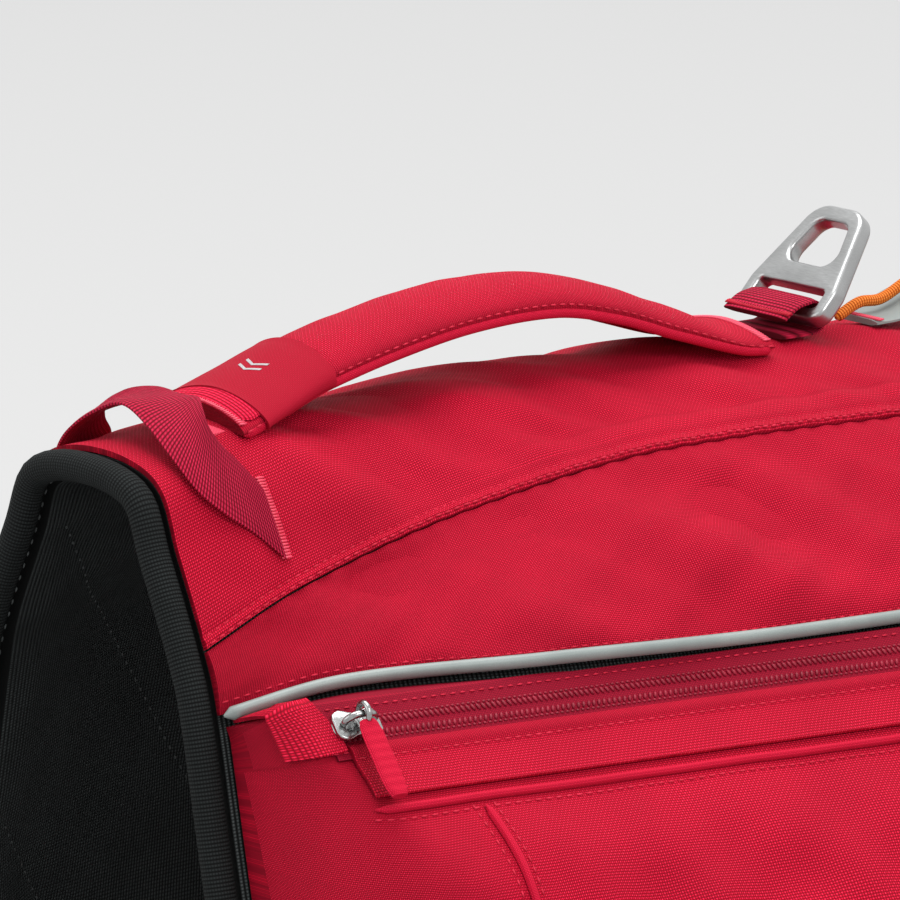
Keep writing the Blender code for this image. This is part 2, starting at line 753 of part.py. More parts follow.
def make_ring():
    slot_wide, slot_high = RING_SLOT
    start = -RING_BAR / 2
    slot = start + RING_BAR
    crossbar = slot + slot_high
    eye = crossbar + RING_CROSSBAR
    eye_top = eye + RING_EYE_HEIGHT
    top = eye_top + RING_TOP_BAR
    half = RING_WIDTH / 2
    outer = (
        (-half, start),
        (half, start),
        (half, slot + slot_high),
        (0.0096, top),
        (-0.0096, top),
        (-half, slot + slot_high),
    )
    slot_box = (
        (-slot_wide / 2, slot),
        (slot_wide / 2, slot),
        (slot_wide / 2, slot + slot_high),
        (-slot_wide / 2, slot + slot_high),
    )
    eye_box = ((-0.0098, eye), (0.0098, eye), (0.0052, eye_top), (-0.0052, eye_top))
    outlines = [rounded(outer, 0.0065), rounded(slot_box, 0.0015, 2), rounded(eye_box, 0.0035, 3)]
    axis = ring_axis()
    # The plate is drawn upright in XY: X stays, Y turns to the ring's leaning direction.
    up = Vector((0, math.sin(RING_LEAN), math.cos(RING_LEAN)))
    side = Vector((1, 0, 0))
    turn = Matrix((side, up, side.cross(up))).transposed().to_4x4()
    plate("v_ring", outlines, RING_THICKNESS, METAL, Matrix.Translation(axis) @ turn)

    ground = axis.z - TAB_FOLD
    route = [(0, RING_Y - 0.0095, ground), (0, RING_Y - 0.005, ground)]
    for i in range(9):
        angle = -math.pi / 2 + math.pi * i / 8
        route.append(
            (0, axis.y + TAB_FOLD * math.cos(angle), axis.z + TAB_FOLD * math.sin(angle))
        )
    route.append((0, RING_Y - 0.005, axis.z + 0.75 * TAB_FOLD))
    route.append((0, RING_Y - 0.0095, ground + WEBBING + 0.0030))
    webbing("v_ring_tab", route, TAB_WIDTH, WEBBING, (1, 0, 0), DARK_WINE)


def make_rear_loop():
    start, end = (SADDLE_LENGTH - margin for margin in REAR_LOOP_SPAN)
    seat = TOUCH + WEBBING / 2 + 0.0002
    shares = (0, 0.16, 0.34, 0.6, 0.84, 1)
    rises = (0, 0.1, 0.55, 1, 0.5, 0)
    route = []
    for share, rise in zip(shares, rises):
        y = start + (end - start) * share
        route.append((0, y, ridge(y, seat + REAR_LOOP_RISE * rise)))
    webbing("rear_loop", smooth_route(route, 2), STRAP_WIDTH, WEBBING, (1, 0, 0), SILVER)

    # The cord rises over the loop from its front end and ends behind it.
    reach = 0.006
    lift = seat + WEBBING / 2 + CORD_RADIUS + 0.0012
    route = [
        (0, start - reach, ridge(start - reach, CORD_RADIUS + TOUCH)),
        (0, start + 0.002, ridge(start + 0.002, lift + 0.0006)),
    ]
    for share, rise in zip(shares[1:-1], rises[1:-1]):
        y = start + (end - start) * share
        route.append((0, y, ridge(y, lift + (REAR_LOOP_RISE + 0.002) * rise)))
    route.append((0, end + reach, ridge(end + reach, CORD_RADIUS + TOUCH)))
    tube("rear_cord", smooth_route(route, 3), CORD_RADIUS, ORANGE)


# ---------------------------------------------------------------- buckles and straps


def make_buckle(prefix, matrix):
    """Both halves, clipped together; the prongs run along the object's +X."""
    female = box(
        prefix + "_buckle_female",
        (FEMALE_LENGTH - TOUCH, BUCKLE_WIDTH, BUCKLE_HEIGHT),
        ((FEMALE_LENGTH + TOUCH) / 2, 0, 0),
        BLACK,
        matrix,
    )
    slot_start = FEMALE_LENGTH - BAR_LENGTH - WEB_SLOT
    overrun = 0.002
    relief = (BUCKLE_HEIGHT - BAR_THICKNESS) / 2 + overrun
    relief_z = (BAR_THICKNESS + relief) / 2
    relief_size = (BAR_LENGTH + WEB_SLOT + overrun, WEB_SLOT_WIDTH, relief)
    relief_x = slot_start + relief_size[0] / 2
    cuts = (
        ("mouth", (CAVITY[0] + overrun, CAVITY[1], CAVITY[2]), ((CAVITY[0] - overrun) / 2, 0, 0)),
        ("windows", (0.009, 2 * BUCKLE_WIDTH, CAVITY[2]), (0.0105, 0, 0)),
        (
            "slot",
            (WEB_SLOT, WEB_SLOT_WIDTH, 2 * BUCKLE_HEIGHT),
            (slot_start + WEB_SLOT / 2, 0, 0),
        ),
        ("relief_top", relief_size, (relief_x, 0, relief_z)),
        ("relief_bottom", relief_size, (relief_x, 0, -relief_z)),
    )
    for cut, size, centre in cuts:
        cutter = box(f"{prefix}_{cut}", size, centre, None, matrix, cutter=True)
        combine(female, cutter, "DIFFERENCE")

    half = BUCKLE_WIDTH / 2
    arm = CAVITY[1] / 2 - TOUCH
    arm_in = arm - 0.0032
    rail = 0.0016
    root = TOUCH
    side = (
        (-MALE_LENGTH, half),
        (0, half),
        (0, arm),
        (PRONG_LENGTH, arm),
        (PRONG_LENGTH, arm_in),
        (root, arm_in),
        (root, rail),
        (PRONG_LENGTH, rail),
    )
    outline = list(side) + [(x, -y) for x, y in reversed(side)]
    slot = (-MALE_LENGTH + BAR_LENGTH, -MALE_LENGTH + BAR_LENGTH + WEB_SLOT)
    reach = WEB_SLOT_WIDTH / 2
    hole = ((slot[0], -reach), (slot[1], -reach), (slot[1], reach), (slot[0], reach))
    plate(prefix + "_buckle_male", [outline[::-1], hole], BAR_THICKNESS, BLACK, matrix)


def bar_fold(bar_x, towards):
    """Webbing folded round a buckle's bar, as (x, z) points from its lower run to its sewn tail.

    towards is 1 where the webbing leaves along +X.
    """
    half_x = BAR_LENGTH / 2 + TOUCH + WEBBING / 2
    half_z = BAR_THICKNESS / 2 + TOUCH + WEBBING / 2
    turn = 0.001
    points = [
        (half_x + 0.004, -half_z),
        (-half_x + turn, -half_z),
        (-half_x, -half_z + turn),
        (-half_x, half_z - turn),
        (-half_x + turn, half_z),
        (half_x, half_z),
        (half_x + TAIL, half_z),
    ]
    return [(bar_x + towards * x, z) for x, z in points]


def climb(y, direction):
    """Points of a strap from the floor up the lining's inner face, as (x, z)."""
    inner = LINING_THICKNESS + TOUCH + WEBBING / 2 + STRAP_INSET
    narrow = y - STRAP_WIDTH / 2
    low, high = 0.031, STRAP_TOP
    out_low = lining_out(narrow, low) - inner
    out_high = lining_out(narrow, high) - inner
    floor = WEBBING / 2 + FLOOR
    run = [(out_high, high), (out_low, low), (out_low - 0.002, 0.012), (out_low - 0.010, floor)]
    return [(direction * x, z) for x, z in run]


def make_girth(prefix, y):
    """One strap under the belly: a short tab on the left, the buckle, and a long strap on the right."""
    height = BUCKLE_HEIGHT / 2 + FLOOR
    make_buckle(prefix, Matrix.Translation((GIRTH_MOUTH, y, height)))
    fold = bar_fold(GIRTH_MOUTH + FEMALE_LENGTH - BAR_LENGTH / 2, 1)
    points = climb(y, 1) + [(x, z + height) for x, z in fold]
    webbing(
        prefix + "_tab", [(x, y, z) for x, z in points], STRAP_WIDTH, WEBBING, (0, 1, 0), DARK_WINE
    )
    fold = bar_fold(GIRTH_MOUTH - MALE_LENGTH + BAR_LENGTH / 2, -1)
    floor = WEBBING / 2 + FLOOR
    over = FLOOR + PAD_THICKNESS + 2 * TOUCH + WEBBING / 2
    left, right = PAD_X
    points = climb(y, -1) + [
        (left - 0.007, floor),
        (left - 0.003, over - 0.002),
        (left, over),
        (right, over),
        (right + 0.003, over - 0.002),
        (right + 0.008, floor),
    ]
    points += [(x, z + height) for x, z in fold]
    webbing(
        prefix + "_strap", [(x, y, z) for x, z in points], STRAP_WIDTH, WEBBING, (0, 1, 0), DARK_WINE
    )


def make_belly():
    make_girth("front_girth", GIRTH_FRONT)
    make_girth("rear_girth", SADDLE_LENGTH - GIRTH_REAR_MARGIN)
    left, right = PAD_X
    front, rear = PAD_MARGINS[0], SADDLE_LENGTH - PAD_MARGINS[1]
    size = (right - left, rear - front, PAD_THICKNESS)
    centre = ((left + right) / 2, (front + rear) / 2, PAD_THICKNESS / 2 + TOUCH)
    pad = box("belly_pad", size, centre, CHARCOAL)
    bevel = pad.modifiers.new("soft_edge", "BEVEL")
    bevel.width = 0.003
    bevel.segments = 2


def chest_run(direction):
    """The strap from the lining's inner face down to the floor ahead of it, as a route."""
    inner = LINING_THICKNESS + TOUCH + WEBBING / 2 + STRAP_INSET
    upper = CHEST_STRAP_TOP
    reach = STRAP_WIDTH / 2
    out_rear = lining_out(0.020, upper + reach) - inner
    out_front = lining_out(0.004, upper + reach) - inner
    rest = BUCKLE_WIDTH / 2 + FLOOR
    points = (
        (out_rear, 0.022, upper),
        (out_front, 0.004, upper - 0.002),
        (out_front - 0.0005, -0.006, 0.050),
        (CHEST_X + 0.0003, -0.013, 0.034),
        (CHEST_X, -0.019, 0.020),
        (CHEST_X, -0.0235, rest),
    )
    return [(direction * x, y, z) for x, y, z in points]


def make_chest():
    rest = BUCKLE_WIDTH / 2 + FLOOR
    turn = Matrix(((0, 0, 1), (1, 0, 0), (0, 1, 0))).to_4x4()
    make_buckle("chest", Matrix.Translation((CHEST_X, CHEST_MOUTH, rest)) @ turn)

    fold = bar_fold(CHEST_MOUTH + FEMALE_LENGTH - BAR_LENGTH / 2, 1)
    side = fold[0][1]
    route = [(x + side, y, z) for x, y, z in chest_run(1)[:-1]]
    route += [(CHEST_X + z, y, rest) for y, z in fold[:-1]]
    tail_y, tail_z = fold[-1]
    route.append((CHEST_X + tail_z, tail_y - CHEST_TAIL_CUT, rest))
    webbing("chest_strap_left", route, STRAP_WIDTH, WEBBING, (0, 0, 1), DARK_WINE)

    fold = bar_fold(CHEST_MOUTH - MALE_LENGTH + BAR_LENGTH / 2, -1)
    floor = STRAP_WIDTH / 2 + FLOOR
    front = -CHEST_REACH + WEBBING / 2
    bend = [
        (CHEST_X - 0.004, front + 0.030, floor + 0.001),
        (CHEST_X - 0.011, front + 0.016, floor),
        (CHEST_X - 0.024, front + 0.006, floor),
        (CHEST_X - 0.042, front + 0.001, floor),
        (0, front, floor),
    ]
    arc = smooth_route(bend, 2)
    far = [Vector((-p.x, p.y, p.z)) for p in reversed(arc[:-1])]
    level = [Vector((-CHEST_X, CHEST_MOUTH - 0.018, floor + 0.001)), Vector((-CHEST_X, -0.036, rest))]
    route = [(CHEST_X + z, y, rest) for y, z in reversed(fold)]
    route += arc + far + level + [Vector(p) for p in reversed(chest_run(-1))]
    webbing("chest_strap_right", route, STRAP_WIDTH, WEBBING, (0, 0, 1), DARK_WINE)

    behind = (WEBBING + CHEST_PAD_THICKNESS) / 2 + TOUCH + CHEST_PAD_GAP
    middle = CHEST_PAD_WIDTH / 2 + FLOOR
    pad = []
    for i in range(9):
        x = CHEST_PAD_HALF * (1 - i / 4)
        pad.append((x, front + behind + CHEST_PAD_BOW * (x / CHEST_PAD_HALF) ** 4, middle))
    webbing("chest_pad", pad, CHEST_PAD_WIDTH, CHEST_PAD_THICKNESS, (0, 0, 1), CHARCOAL)


clear_scene()
PACK = bpy.data.collections.new("saddle_daypack")
CUTTERS = bpy.data.collections.new("cutters")
for collection in (PACK, CUTTERS):
    bpy.context.scene.collection.children.link(collection)
BASE = bpy.data.objects.new("pack_frame", None)
PACK.objects.link(BASE)
BASE.location = (0, (CHEST_REACH - REAR_END) / 2, 0)

RED = material("crimson_nylon", "C4203A", 0.75)
WINE = material("wine_zip_tape", "7E1226", 0.8)
DARK_WINE = material("wine_webbing", "6B1226", 0.8)
CHARCOAL = material("charcoal_mesh", "2C2F30", 0.9)
SILVER = material("reflective_piping", "A9B0AF", 0.4)
METAL = material("bright_metal", "C9CBCC", 0.25, 1.0)
BLACK = material("black_acetal", "191A1B", 0.45)
ORANGE = material("orange_cord", "E0862A", 0.7)

make_saddle()
make_bag()
make_zips()
make_handle()
make_front_loop()
make_ring()
make_rear_loop()
make_belly()
make_chest()
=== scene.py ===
"""Looks of the dog's saddle daypack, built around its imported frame.

The surfaces repeat the frame's own formulas, in metres, with y measured backwards from the saddle's
front edge and z up from the floor. A piece is moved into the shared frame when it is finished.
"""

import bisect
import json
import math
from functools import cache

import bmesh
import bpy
import numpy as np
from mathutils import Matrix, Vector, noise

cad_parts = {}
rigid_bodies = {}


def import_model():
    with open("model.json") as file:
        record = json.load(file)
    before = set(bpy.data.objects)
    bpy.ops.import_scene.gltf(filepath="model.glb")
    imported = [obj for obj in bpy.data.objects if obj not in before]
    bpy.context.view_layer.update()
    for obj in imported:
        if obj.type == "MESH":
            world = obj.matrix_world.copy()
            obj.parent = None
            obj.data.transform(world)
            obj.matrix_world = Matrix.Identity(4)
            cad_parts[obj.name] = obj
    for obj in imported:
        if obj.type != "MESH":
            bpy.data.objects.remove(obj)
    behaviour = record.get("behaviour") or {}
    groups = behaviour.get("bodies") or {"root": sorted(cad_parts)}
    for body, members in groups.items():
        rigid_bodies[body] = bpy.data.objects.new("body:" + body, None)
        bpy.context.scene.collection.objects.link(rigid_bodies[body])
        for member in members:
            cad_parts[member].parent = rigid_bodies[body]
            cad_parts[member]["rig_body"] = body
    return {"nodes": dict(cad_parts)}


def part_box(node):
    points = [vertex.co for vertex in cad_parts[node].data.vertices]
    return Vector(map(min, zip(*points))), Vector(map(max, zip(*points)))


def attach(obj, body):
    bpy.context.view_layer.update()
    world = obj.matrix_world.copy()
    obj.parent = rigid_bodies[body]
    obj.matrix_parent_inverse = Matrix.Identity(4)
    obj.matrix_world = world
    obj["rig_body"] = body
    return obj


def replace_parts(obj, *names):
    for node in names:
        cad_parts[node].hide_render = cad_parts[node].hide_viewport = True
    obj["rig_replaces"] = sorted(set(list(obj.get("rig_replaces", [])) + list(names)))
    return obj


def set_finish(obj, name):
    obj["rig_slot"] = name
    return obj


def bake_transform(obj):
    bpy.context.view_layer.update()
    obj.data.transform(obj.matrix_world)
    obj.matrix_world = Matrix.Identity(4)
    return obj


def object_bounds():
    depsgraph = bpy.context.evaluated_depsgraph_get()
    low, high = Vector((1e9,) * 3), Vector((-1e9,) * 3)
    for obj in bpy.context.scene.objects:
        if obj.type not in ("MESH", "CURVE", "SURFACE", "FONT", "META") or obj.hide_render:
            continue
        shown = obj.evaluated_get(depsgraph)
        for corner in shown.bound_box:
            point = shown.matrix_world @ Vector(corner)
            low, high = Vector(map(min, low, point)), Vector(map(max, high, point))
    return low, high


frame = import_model()
CAD_BOX = [list(corner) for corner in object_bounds()]

# Where the saddle's front edge lies in the shared frame
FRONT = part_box("saddle_lining")[0].y

# The saddle
SADDLE_LENGTH = 0.320
RIM_HEIGHT = 0.285
HEM_HEIGHT = 0.023
LINING_THICKNESS = 0.008
PANEL_GAP = 0.0005
PANEL_TOP = 0.002
BINDING_RADIUS = 0.004
TOUCH = 0.0004
SECTION_ROWS = (0.0, 0.030, 0.080, 0.150, SADDLE_LENGTH)
UPPER_STATIONS = (
    ((0, 0), (0.022, 0.0045), (0.031, 0.021), (0.042, 0.043), (0.0475, 0.0585)),
    ((0, -0.003), (0.021, 0.002), (0.032, 0.013), (0.0425, 0.031), (0.058, 0.0525)),
    ((0, -0.0042), (0.020, -0.0005), (0.033, 0.008), (0.044, 0.0185), (0.077, 0.0508)),
    ((0, -0.0050), (0.020, -0.0015), (0.033, 0.0045), (0.0445, 0.0105), (0.086, 0.0522)),
    ((0, 0), (0.019, 0.003), (0.032, 0.009), (0.044, 0.016), (0.098, 0.053)),
)
LOWER_STATIONS = (
    (0.056, 0.067, 0.077, 0.082),
    (0.070, 0.081, 0.087, 0.087),
    (0.086, 0.094, 0.097, 0.094),
    (0.094, 0.101, 0.104, 0.100),
    (0.105, 0.109, 0.110, 0.105),
)
LOWER_SHARES = (0.19, 0.42, 0.70, 1.0)
SEAM = 3
PIPING = 4
HEM = 8
STATIONS = list(range(-HEM, HEM + 1))
QUARTERS = [i / 4 for i in range(4 * HEM + 1)]

# The saddlebags and their zips
BAG_TOP = 4.1
BAG_DEPTH = 0.078
BAG_END_GAP = 0.0015
BAG_END_RADIUS = 0.055
BAG_BOTTOM_RADIUS = 0.060
BAND_END_RADIUS = 0.006
BAG_LINING_GAP = 0.0016
BAG_OUT = (0.51, 0.87, 1.0, 0.92, 0.58)
BAG_HIGH = (0.845, 0.66, 0.44, 0.20, 0.0)
BAG_RINGS = 18
ZIP_HEIGHT = RIM_HEIGHT - 0.0588
ZIP_SPREAD = 0.080
ZIP_SPREAD_AT = 0.018
ZIP_SPLAY = 0.12
ZIP_ALONG = Vector((ZIP_SPLAY, 1, 0)).normalized()
BAND_DOWN = Vector((1, 0, -1)).normalized()
BAND_HALF_WIDTH = 0.0085
ZIP_FRONT = 0.0098
ZIP_REAR = SADDLE_LENGTH - 0.030
SLIDER_LENGTH = 0.013
SLIDER_REST = ZIP_FRONT + SLIDER_LENGTH / 2 + 0.001
ZIP_FACE = 0.0018  # the slider's foot above the band
CROWN_RISE = 0.0063  # the pull's hinge above the slider's foot
POCKET_ROWS = (3.5, 6.0)
POCKET_COLUMNS = (5, 13)
POCKET_ZIP = 4.25
POCKET_DEPTH = 0.014
POCKET_ZIP_MARGIN = 0.024

# The handle
HANDLE_FRONT = 0.030
RING_Y = SADDLE_LENGTH - 0.098
HANDLE_REAR = RING_Y - 0.019
HANDLE_WIDTH = 0.034
HANDLE_DROOP = 0.0025
HANDLE_FLARE = 0.20
HANDLE_SEAT = 0.20
HANDLE_EDGE_GAP = 0.0012
HANDLE_STATIONS = (0, 0.1, 0.17, 0.29, 0.44, 0.6, 0.72, 0.83, 0.94, 1)
HANDLE_TOP = (0.0052, 0.0105, 0.015, 0.020, 0.0237, 0.024, 0.020, 0.0136, 0.0066, 0.0048)
HANDLE_THICK = (0.0040, 0.0058, 0.0074, 0.008, 0.008, 0.008, 0.008, 0.0075, 0.0054, 0.0040)

# Webbing, ring and buckles
WEBBING = 0.0016
STRAP_WIDTH = 0.020
LOOP_WIDTH = 0.019
TAB_WIDTH = 0.025
RING_BAR = 0.0035
RING_THICKNESS = 0.005
RING_WIDTH = 0.034
RING_LEAN = math.radians(43)
TAB_FOLD = math.hypot(RING_BAR, RING_THICKNESS) / 2 + TOUCH + WEBBING / 2
BUCKLE_WIDTH = 0.027
BUCKLE_HEIGHT = 0.0094
FEMALE_LENGTH = 0.028
MALE_LENGTH = 0.022
BAR_LENGTH = 0.003
BAR_THICKNESS = 0.005
TAIL = 0.014
GIRTH_MOUTH = 0.042
FLOOR_GAP = 0.0005
STRAP_INSET = LINING_THICKNESS + TOUCH + WEBBING / 2 + 0.0009  # from the lining's face to a strap
PAD_X = (-0.066, -0.006)
PAD_THICKNESS = 0.0066
CHEST_X = 0.066
CHEST_MOUTH = -0.056
CHEST_FRONT = -0.1165 + WEBBING / 2
CHEST_PAD_HALF = 0.034
CHEST_PAD_THICKNESS = 0.007

# Sewing: the threads' pitch, length and half thickness. A tack's threads lie across its line.
SEWING = (0.0030, 0.0022, 0.00032)
GRIP_SEWING = (0.0030, 0.0022, 0.00026)
QUILTING = (0.0042, 0.0016, 0.0004)
RIM_SEWING = (0.0038, 0.0018, 0.00028)
ZIP_SEWING = (0.0028, 0.0020, 0.00025)
ZIP_TACK = (0.0007, 0.0026, 0.0004)
HANDLE_TACK = (0.0009, 0.0034, 0.0004)
FRONT_LOOP_TACK = (0.00085, 0.0036, 0.00045)
REAR_LOOP_TACK = (0.0009, 0.0030, 0.0004)
RING_TACK = (0.0009, 0.0024, 0.0004)
QUILT = 0.052  # distance between the quilting lines
QUILT_DEPTH = 0.0018
QUILT_DOWN, QUILT_BACK = 0.57, 0.82  # the quilting lines' slant
CORD_STEP = 0.003  # distance between the rings of a sewn-on cord


# ---------------------------------------------------------------- materials


def linear(code):
    """An sRGB hex value as linear light, with full alpha."""
    channels = [int(code[i : i + 2], 16) / 255 for i in (0, 2, 4)]
    return (*(c / 12.92 if c <= 0.04045 else ((c + 0.055) / 1.055) ** 2.4 for c in channels), 1)


def link(thing):
    bpy.context.scene.collection.objects.link(thing)
    return thing


def wire(mat, node, inputs):
    """Sets a node's inputs, to values or from other nodes' outputs."""
    for key, value in inputs.items():
        if isinstance(value, bpy.types.NodeSocket):
            mat.node_tree.links.new(value, node.inputs[key])
        else:
            node.inputs[key].default_value = value


def add(mat, kind, inputs=(), stops=(), **settings):
    """Adds a node with its settings and inputs; stops are a ramp's places and colours."""
    made = mat.node_tree.nodes.new("ShaderNode" + kind)
    for key, value in settings.items():
        setattr(made, key, value)
    wire(mat, made, dict(inputs))
    if stops:
        marks = made.color_ramp.elements
        while len(marks) < len(stops):
            marks.new(0.5)
        for mark, (place, code) in zip(marks, stops):
            mark.position = place
            mark.color = linear(code)
    return made


def finish_material(name, roughness, **values):
    """A material with its shader's plain values set, and the shader."""
    mat = bpy.data.materials.new(name)
    mat.use_nodes = True
    shader = mat.node_tree.nodes["Principled BSDF"]
    plain = {key.replace("_", " "): value for key, value in values.items()}
    wire(mat, shader, {"Roughness": roughness, **plain})
    return mat, shader


def waves(mat, source, across, along):
    """The product of two waves over a cloth's UV map in metres: 1 and -1 on alternate crossings."""
    split = add(mat, "SeparateXYZ", {0: source})
    parts = []
    for axis, pitch in (("X", across), ("Y", along)):
        turn = add(mat, "Math", {0: split.outputs[axis], 1: math.pi / pitch}, operation="MULTIPLY")
        parts.append(add(mat, "Math", {0: turn.outputs[0]}, operation="SINE").outputs[0])
    return add(mat, "Math", {0: parts[0], 1: parts[1]}, operation="MULTIPLY").outputs[0], parts


def finish_cloth(mat, shader, height, stops, blotches, limits, relief):
    """Colours by the threads' height, with painted shade low and a painted highlight high, worn unevenly
    towards the first one, and the threads' relief.
    """
    colour = add(mat, "ValToRGB", {"Fac": height}, stops).outputs["Color"]
    fade = add(mat, "TexNoise", blotches)
    share = add(mat, "MapRange", {"Value": fade.outputs["Fac"], **limits})
    # The threads' painted shade and highlight, mixed with random wear towards the darkest colour.
    wear_and_painted_light = add(mat, "Mix", {0: share.outputs[0], 6: colour, 7: linear(stops[0][1])}, data_type="RGBA")
    bump = add(mat, "Bump", {"Height": height, **relief})
    wire(mat, shader, {"Base Color": wear_and_painted_light.outputs[2], "Normal": bump.outputs[0]})
    return mat


def woven(name, colours, pitch, depth, shade=0.25, gloss=0.1):
    """A plain weave: threads of one way stand proud of the other's at every second crossing.

    colours run from painted shade in the gaps between the threads to a painted highlight on their tops.
    """
    mat, shader = finish_material(name, 0.75, Specular_IOR_Level=gloss)
    cloth = add(mat, "UVMap", uv_map="cloth").outputs[0]
    # Threads wander a little, so that the rows aren't ruled lines.
    wander = add(mat, "TexNoise", {"Vector": cloth, "Scale": 160.0, "Detail": 1.0})
    drift = add(mat, "VectorMath", {0: wander.outputs["Color"], 1: (-0.5, -0.5, -0.5)}, operation="ADD")
    nudge = add(mat, "VectorMath", {0: drift.outputs[0], "Scale": pitch * 0.7}, operation="SCALE")
    source = add(mat, "VectorMath", {0: cloth, 1: nudge.outputs[0]}, operation="ADD").outputs[0]
    product, _ = waves(mat, source, pitch, pitch)
    over = add(mat, "Math", {0: product, 1: 0.0}, operation="MAXIMUM").outputs[0]
    under = add(mat, "Math", {0: product, 1: -0.55}, operation="MULTIPLY").outputs[0]
    height = add(mat, "Math", {0: over, 1: under}, operation="MAXIMUM").outputs[0]
    # Slow unevenness of dye and wear, over 3 to 5 cm.
    blotches = {"Vector": cloth, "Scale": 26.0, "Detail": 3.0, "Roughness": 0.6}
    limits = {"From Min": 0.3, "From Max": 0.7, "To Max": shade}
    # The ramp paints shade in the gaps and a highlight on the threads' tops.
    stops = list(zip((0.0, 0.42, 1.0), colours))
    return finish_cloth(mat, shader, height, stops, blotches, limits, {"Strength": 0.9, "Distance": depth})


def ribbed(name, colours, rib, knit, depth):
    """Ribbed knit or webbing: ribs run along the cloth's second direction, knots cross them."""
    mat, shader = finish_material(name, 0.8, Specular_IOR_Level=0.1)
    cloth = add(mat, "UVMap", uv_map="cloth").outputs[0]
    _, parts = waves(mat, cloth, rib, knit)
    ridges, knots = (add(mat, "Math", {0: part}, operation="ABSOLUTE").outputs[0] for part in parts)
    fine = add(mat, "Math", {0: knots, 1: ridges}, operation="MULTIPLY").outputs[0]
    both = add(mat, "Math", {0: fine, 1: ridges}, operation="ADD").outputs[0]
    height = add(mat, "Math", {0: both, 1: 0.5}, operation="MULTIPLY").outputs[0]
    blotches = {"Vector": cloth, "Scale": 60.0, "Detail": 3.0}
    limits = {"From Min": 0.35, "From Max": 0.75, "To Max": 0.3}
    # The ramp paints shade between the ribs and a highlight on their tops.
    stops = list(zip((0.05, 0.55, 1.0), colours))
    return finish_cloth(mat, shader, height, stops, blotches, limits, {"Strength": 1.0, "Distance": depth})


def grained(name, colours, roughness, grain, depth, stretch=(1, 1, 1), **values):
    """Metal, plastic or coated cloth: a fine grain in the surface and a slow change of colour."""
    mat, shader = finish_material(name, roughness, **values)
    place = add(mat, "TexCoord").outputs["Object"]
    mapped = add(mat, "Mapping", {"Vector": place, "Scale": stretch}).outputs[0]
    speck = add(mat, "TexNoise", {"Vector": mapped, "Scale": 1 / grain, "Detail": 4.0}).outputs["Fac"]
    slow = add(mat, "TexNoise", {"Vector": place, "Scale": 70.0, "Detail": 2.0}).outputs["Fac"]
    both = add(mat, "Math", {0: speck, 1: slow}, operation="MULTIPLY").outputs[0]
    colour = add(mat, "ValToRGB", {"Fac": both}, list(zip((0.12, 0.42), colours))).outputs["Color"]
    limits = {"To Min": roughness * 0.8, "To Max": roughness * 1.25}
    dull = add(mat, "MapRange", {"Value": speck, **limits}).outputs[0]
    bump = add(mat, "Bump", {"Height": speck, "Strength": 0.5, "Distance": depth}).outputs[0]
    wire(mat, shader, {"Base Color": colour, "Roughness": dull, "Normal": bump})
    return mat


# Each woven and ribbed cloth's colours run from painted shade in its gaps, through its own colour, to a
# painted highlight on its threads' tops.
# Pack cloth of 600 denier nylon in a plain weave: matt and bumpy, its threads 0.56 mm apart.
NYLON = woven("crimson_pack_nylon", ("740218", "C8082C", "F62E54"), 0.0006, 0.00034)
# The same cloth folded or piped, where the threads are finer: 0.4 mm.
FINE_NYLON = woven("crimson_facing_nylon", ("8E061E", "CC0E34", "EC2C52"), 0.0004, 0.00012)
# Coated nylon of the handle's patch: the weave is nearly filled, so it is smoother and darker.
COATED = woven("wine_coated_nylon", ("86061C", "9E0824", "AC1230"), 0.00045, 0.00006, 0.15)
# Zip tape: a tight, fine polyester weave, dark wine red.
TAPE = woven("wine_zip_tape", ("60041A", "8E0824", "A41430"), 0.0005, 0.0001)
# Nylon webbing: fat ribs along it every 1.3 mm, crossed by a pick every 0.9 mm.
WEB = ribbed("wine_webbing", ("4A0412", "960C2A", "C8264A"), 0.0009, 0.0013, 0.0003)
# Ribbed knit at the handle's front end: raised cords 1.4 mm apart along the handle.
RIB_KNIT = ribbed("crimson_rib_knit", ("8E061E", "CC0E34", "EC2C52"), 0.0011, 0.0014, 0.0004)
# Spacer mesh of the lining: matt black-grey knit with ribs 1.1 mm apart that swallow the light.
MESH = ribbed("charcoal_spacer_mesh", ("0A0B0B", "262929", "4C5151"), 0.0011, 0.0008, 0.0005)
# The same knit pulled over the edge cord, where it is stretched and lighter.
RIM_MESH = ribbed("charcoal_rim_mesh", ("070808", "181A1A", "292D2D"), 0.0010, 0.0008, 0.0003)
# Retroreflective tape: glass beads in grey resin, matt in soft light and a little green.
REFLECTIVE = grained("retroreflective_tape", ("7A8280", "8F9794"), 0.5, 0.00025, 0.00003, Metallic=0.2)
# Bonded polyester thread: one red for the shell, one pale grey for the quilting, and the bar tacks.
THREAD_RED = grained("red_thread", ("A40E26", "CE2442"), 0.6, 0.0004, 0.00004, Specular_IOR_Level=0.2)
THREAD_GREY = grained("grey_thread", ("2A2D2D", "484D4D"), 0.6, 0.0004, 0.00004)
THREAD_PINK = grained("rose_thread", ("C8203E", "E85670"), 0.45, 0.0004, 0.00005)
# Rose nylon tape under the handle's front end; its pale pink is a painted highlight on the handle's seat.
ROSE_PAINTED_HIGHLIGHT = woven("rose_tape", ("C83048", "E04A62", "F06C80"), 0.0005, 0.0001)
# Nylon zip coil: monofilament loops, smooth and slightly glossy.
COIL = grained("wine_nylon_coil", ("6C081C", "961630"), 0.45, 0.0005, 0.00002, Specular_IOR_Level=0.3)
# Die-cast zinc plated with bright nickel: mirror-like with fine wear.
NICKEL = grained("bright_nickel", ("8E9090", "B8B9B8"), 0.2, 0.0008, 0.00001, Metallic=1.0)
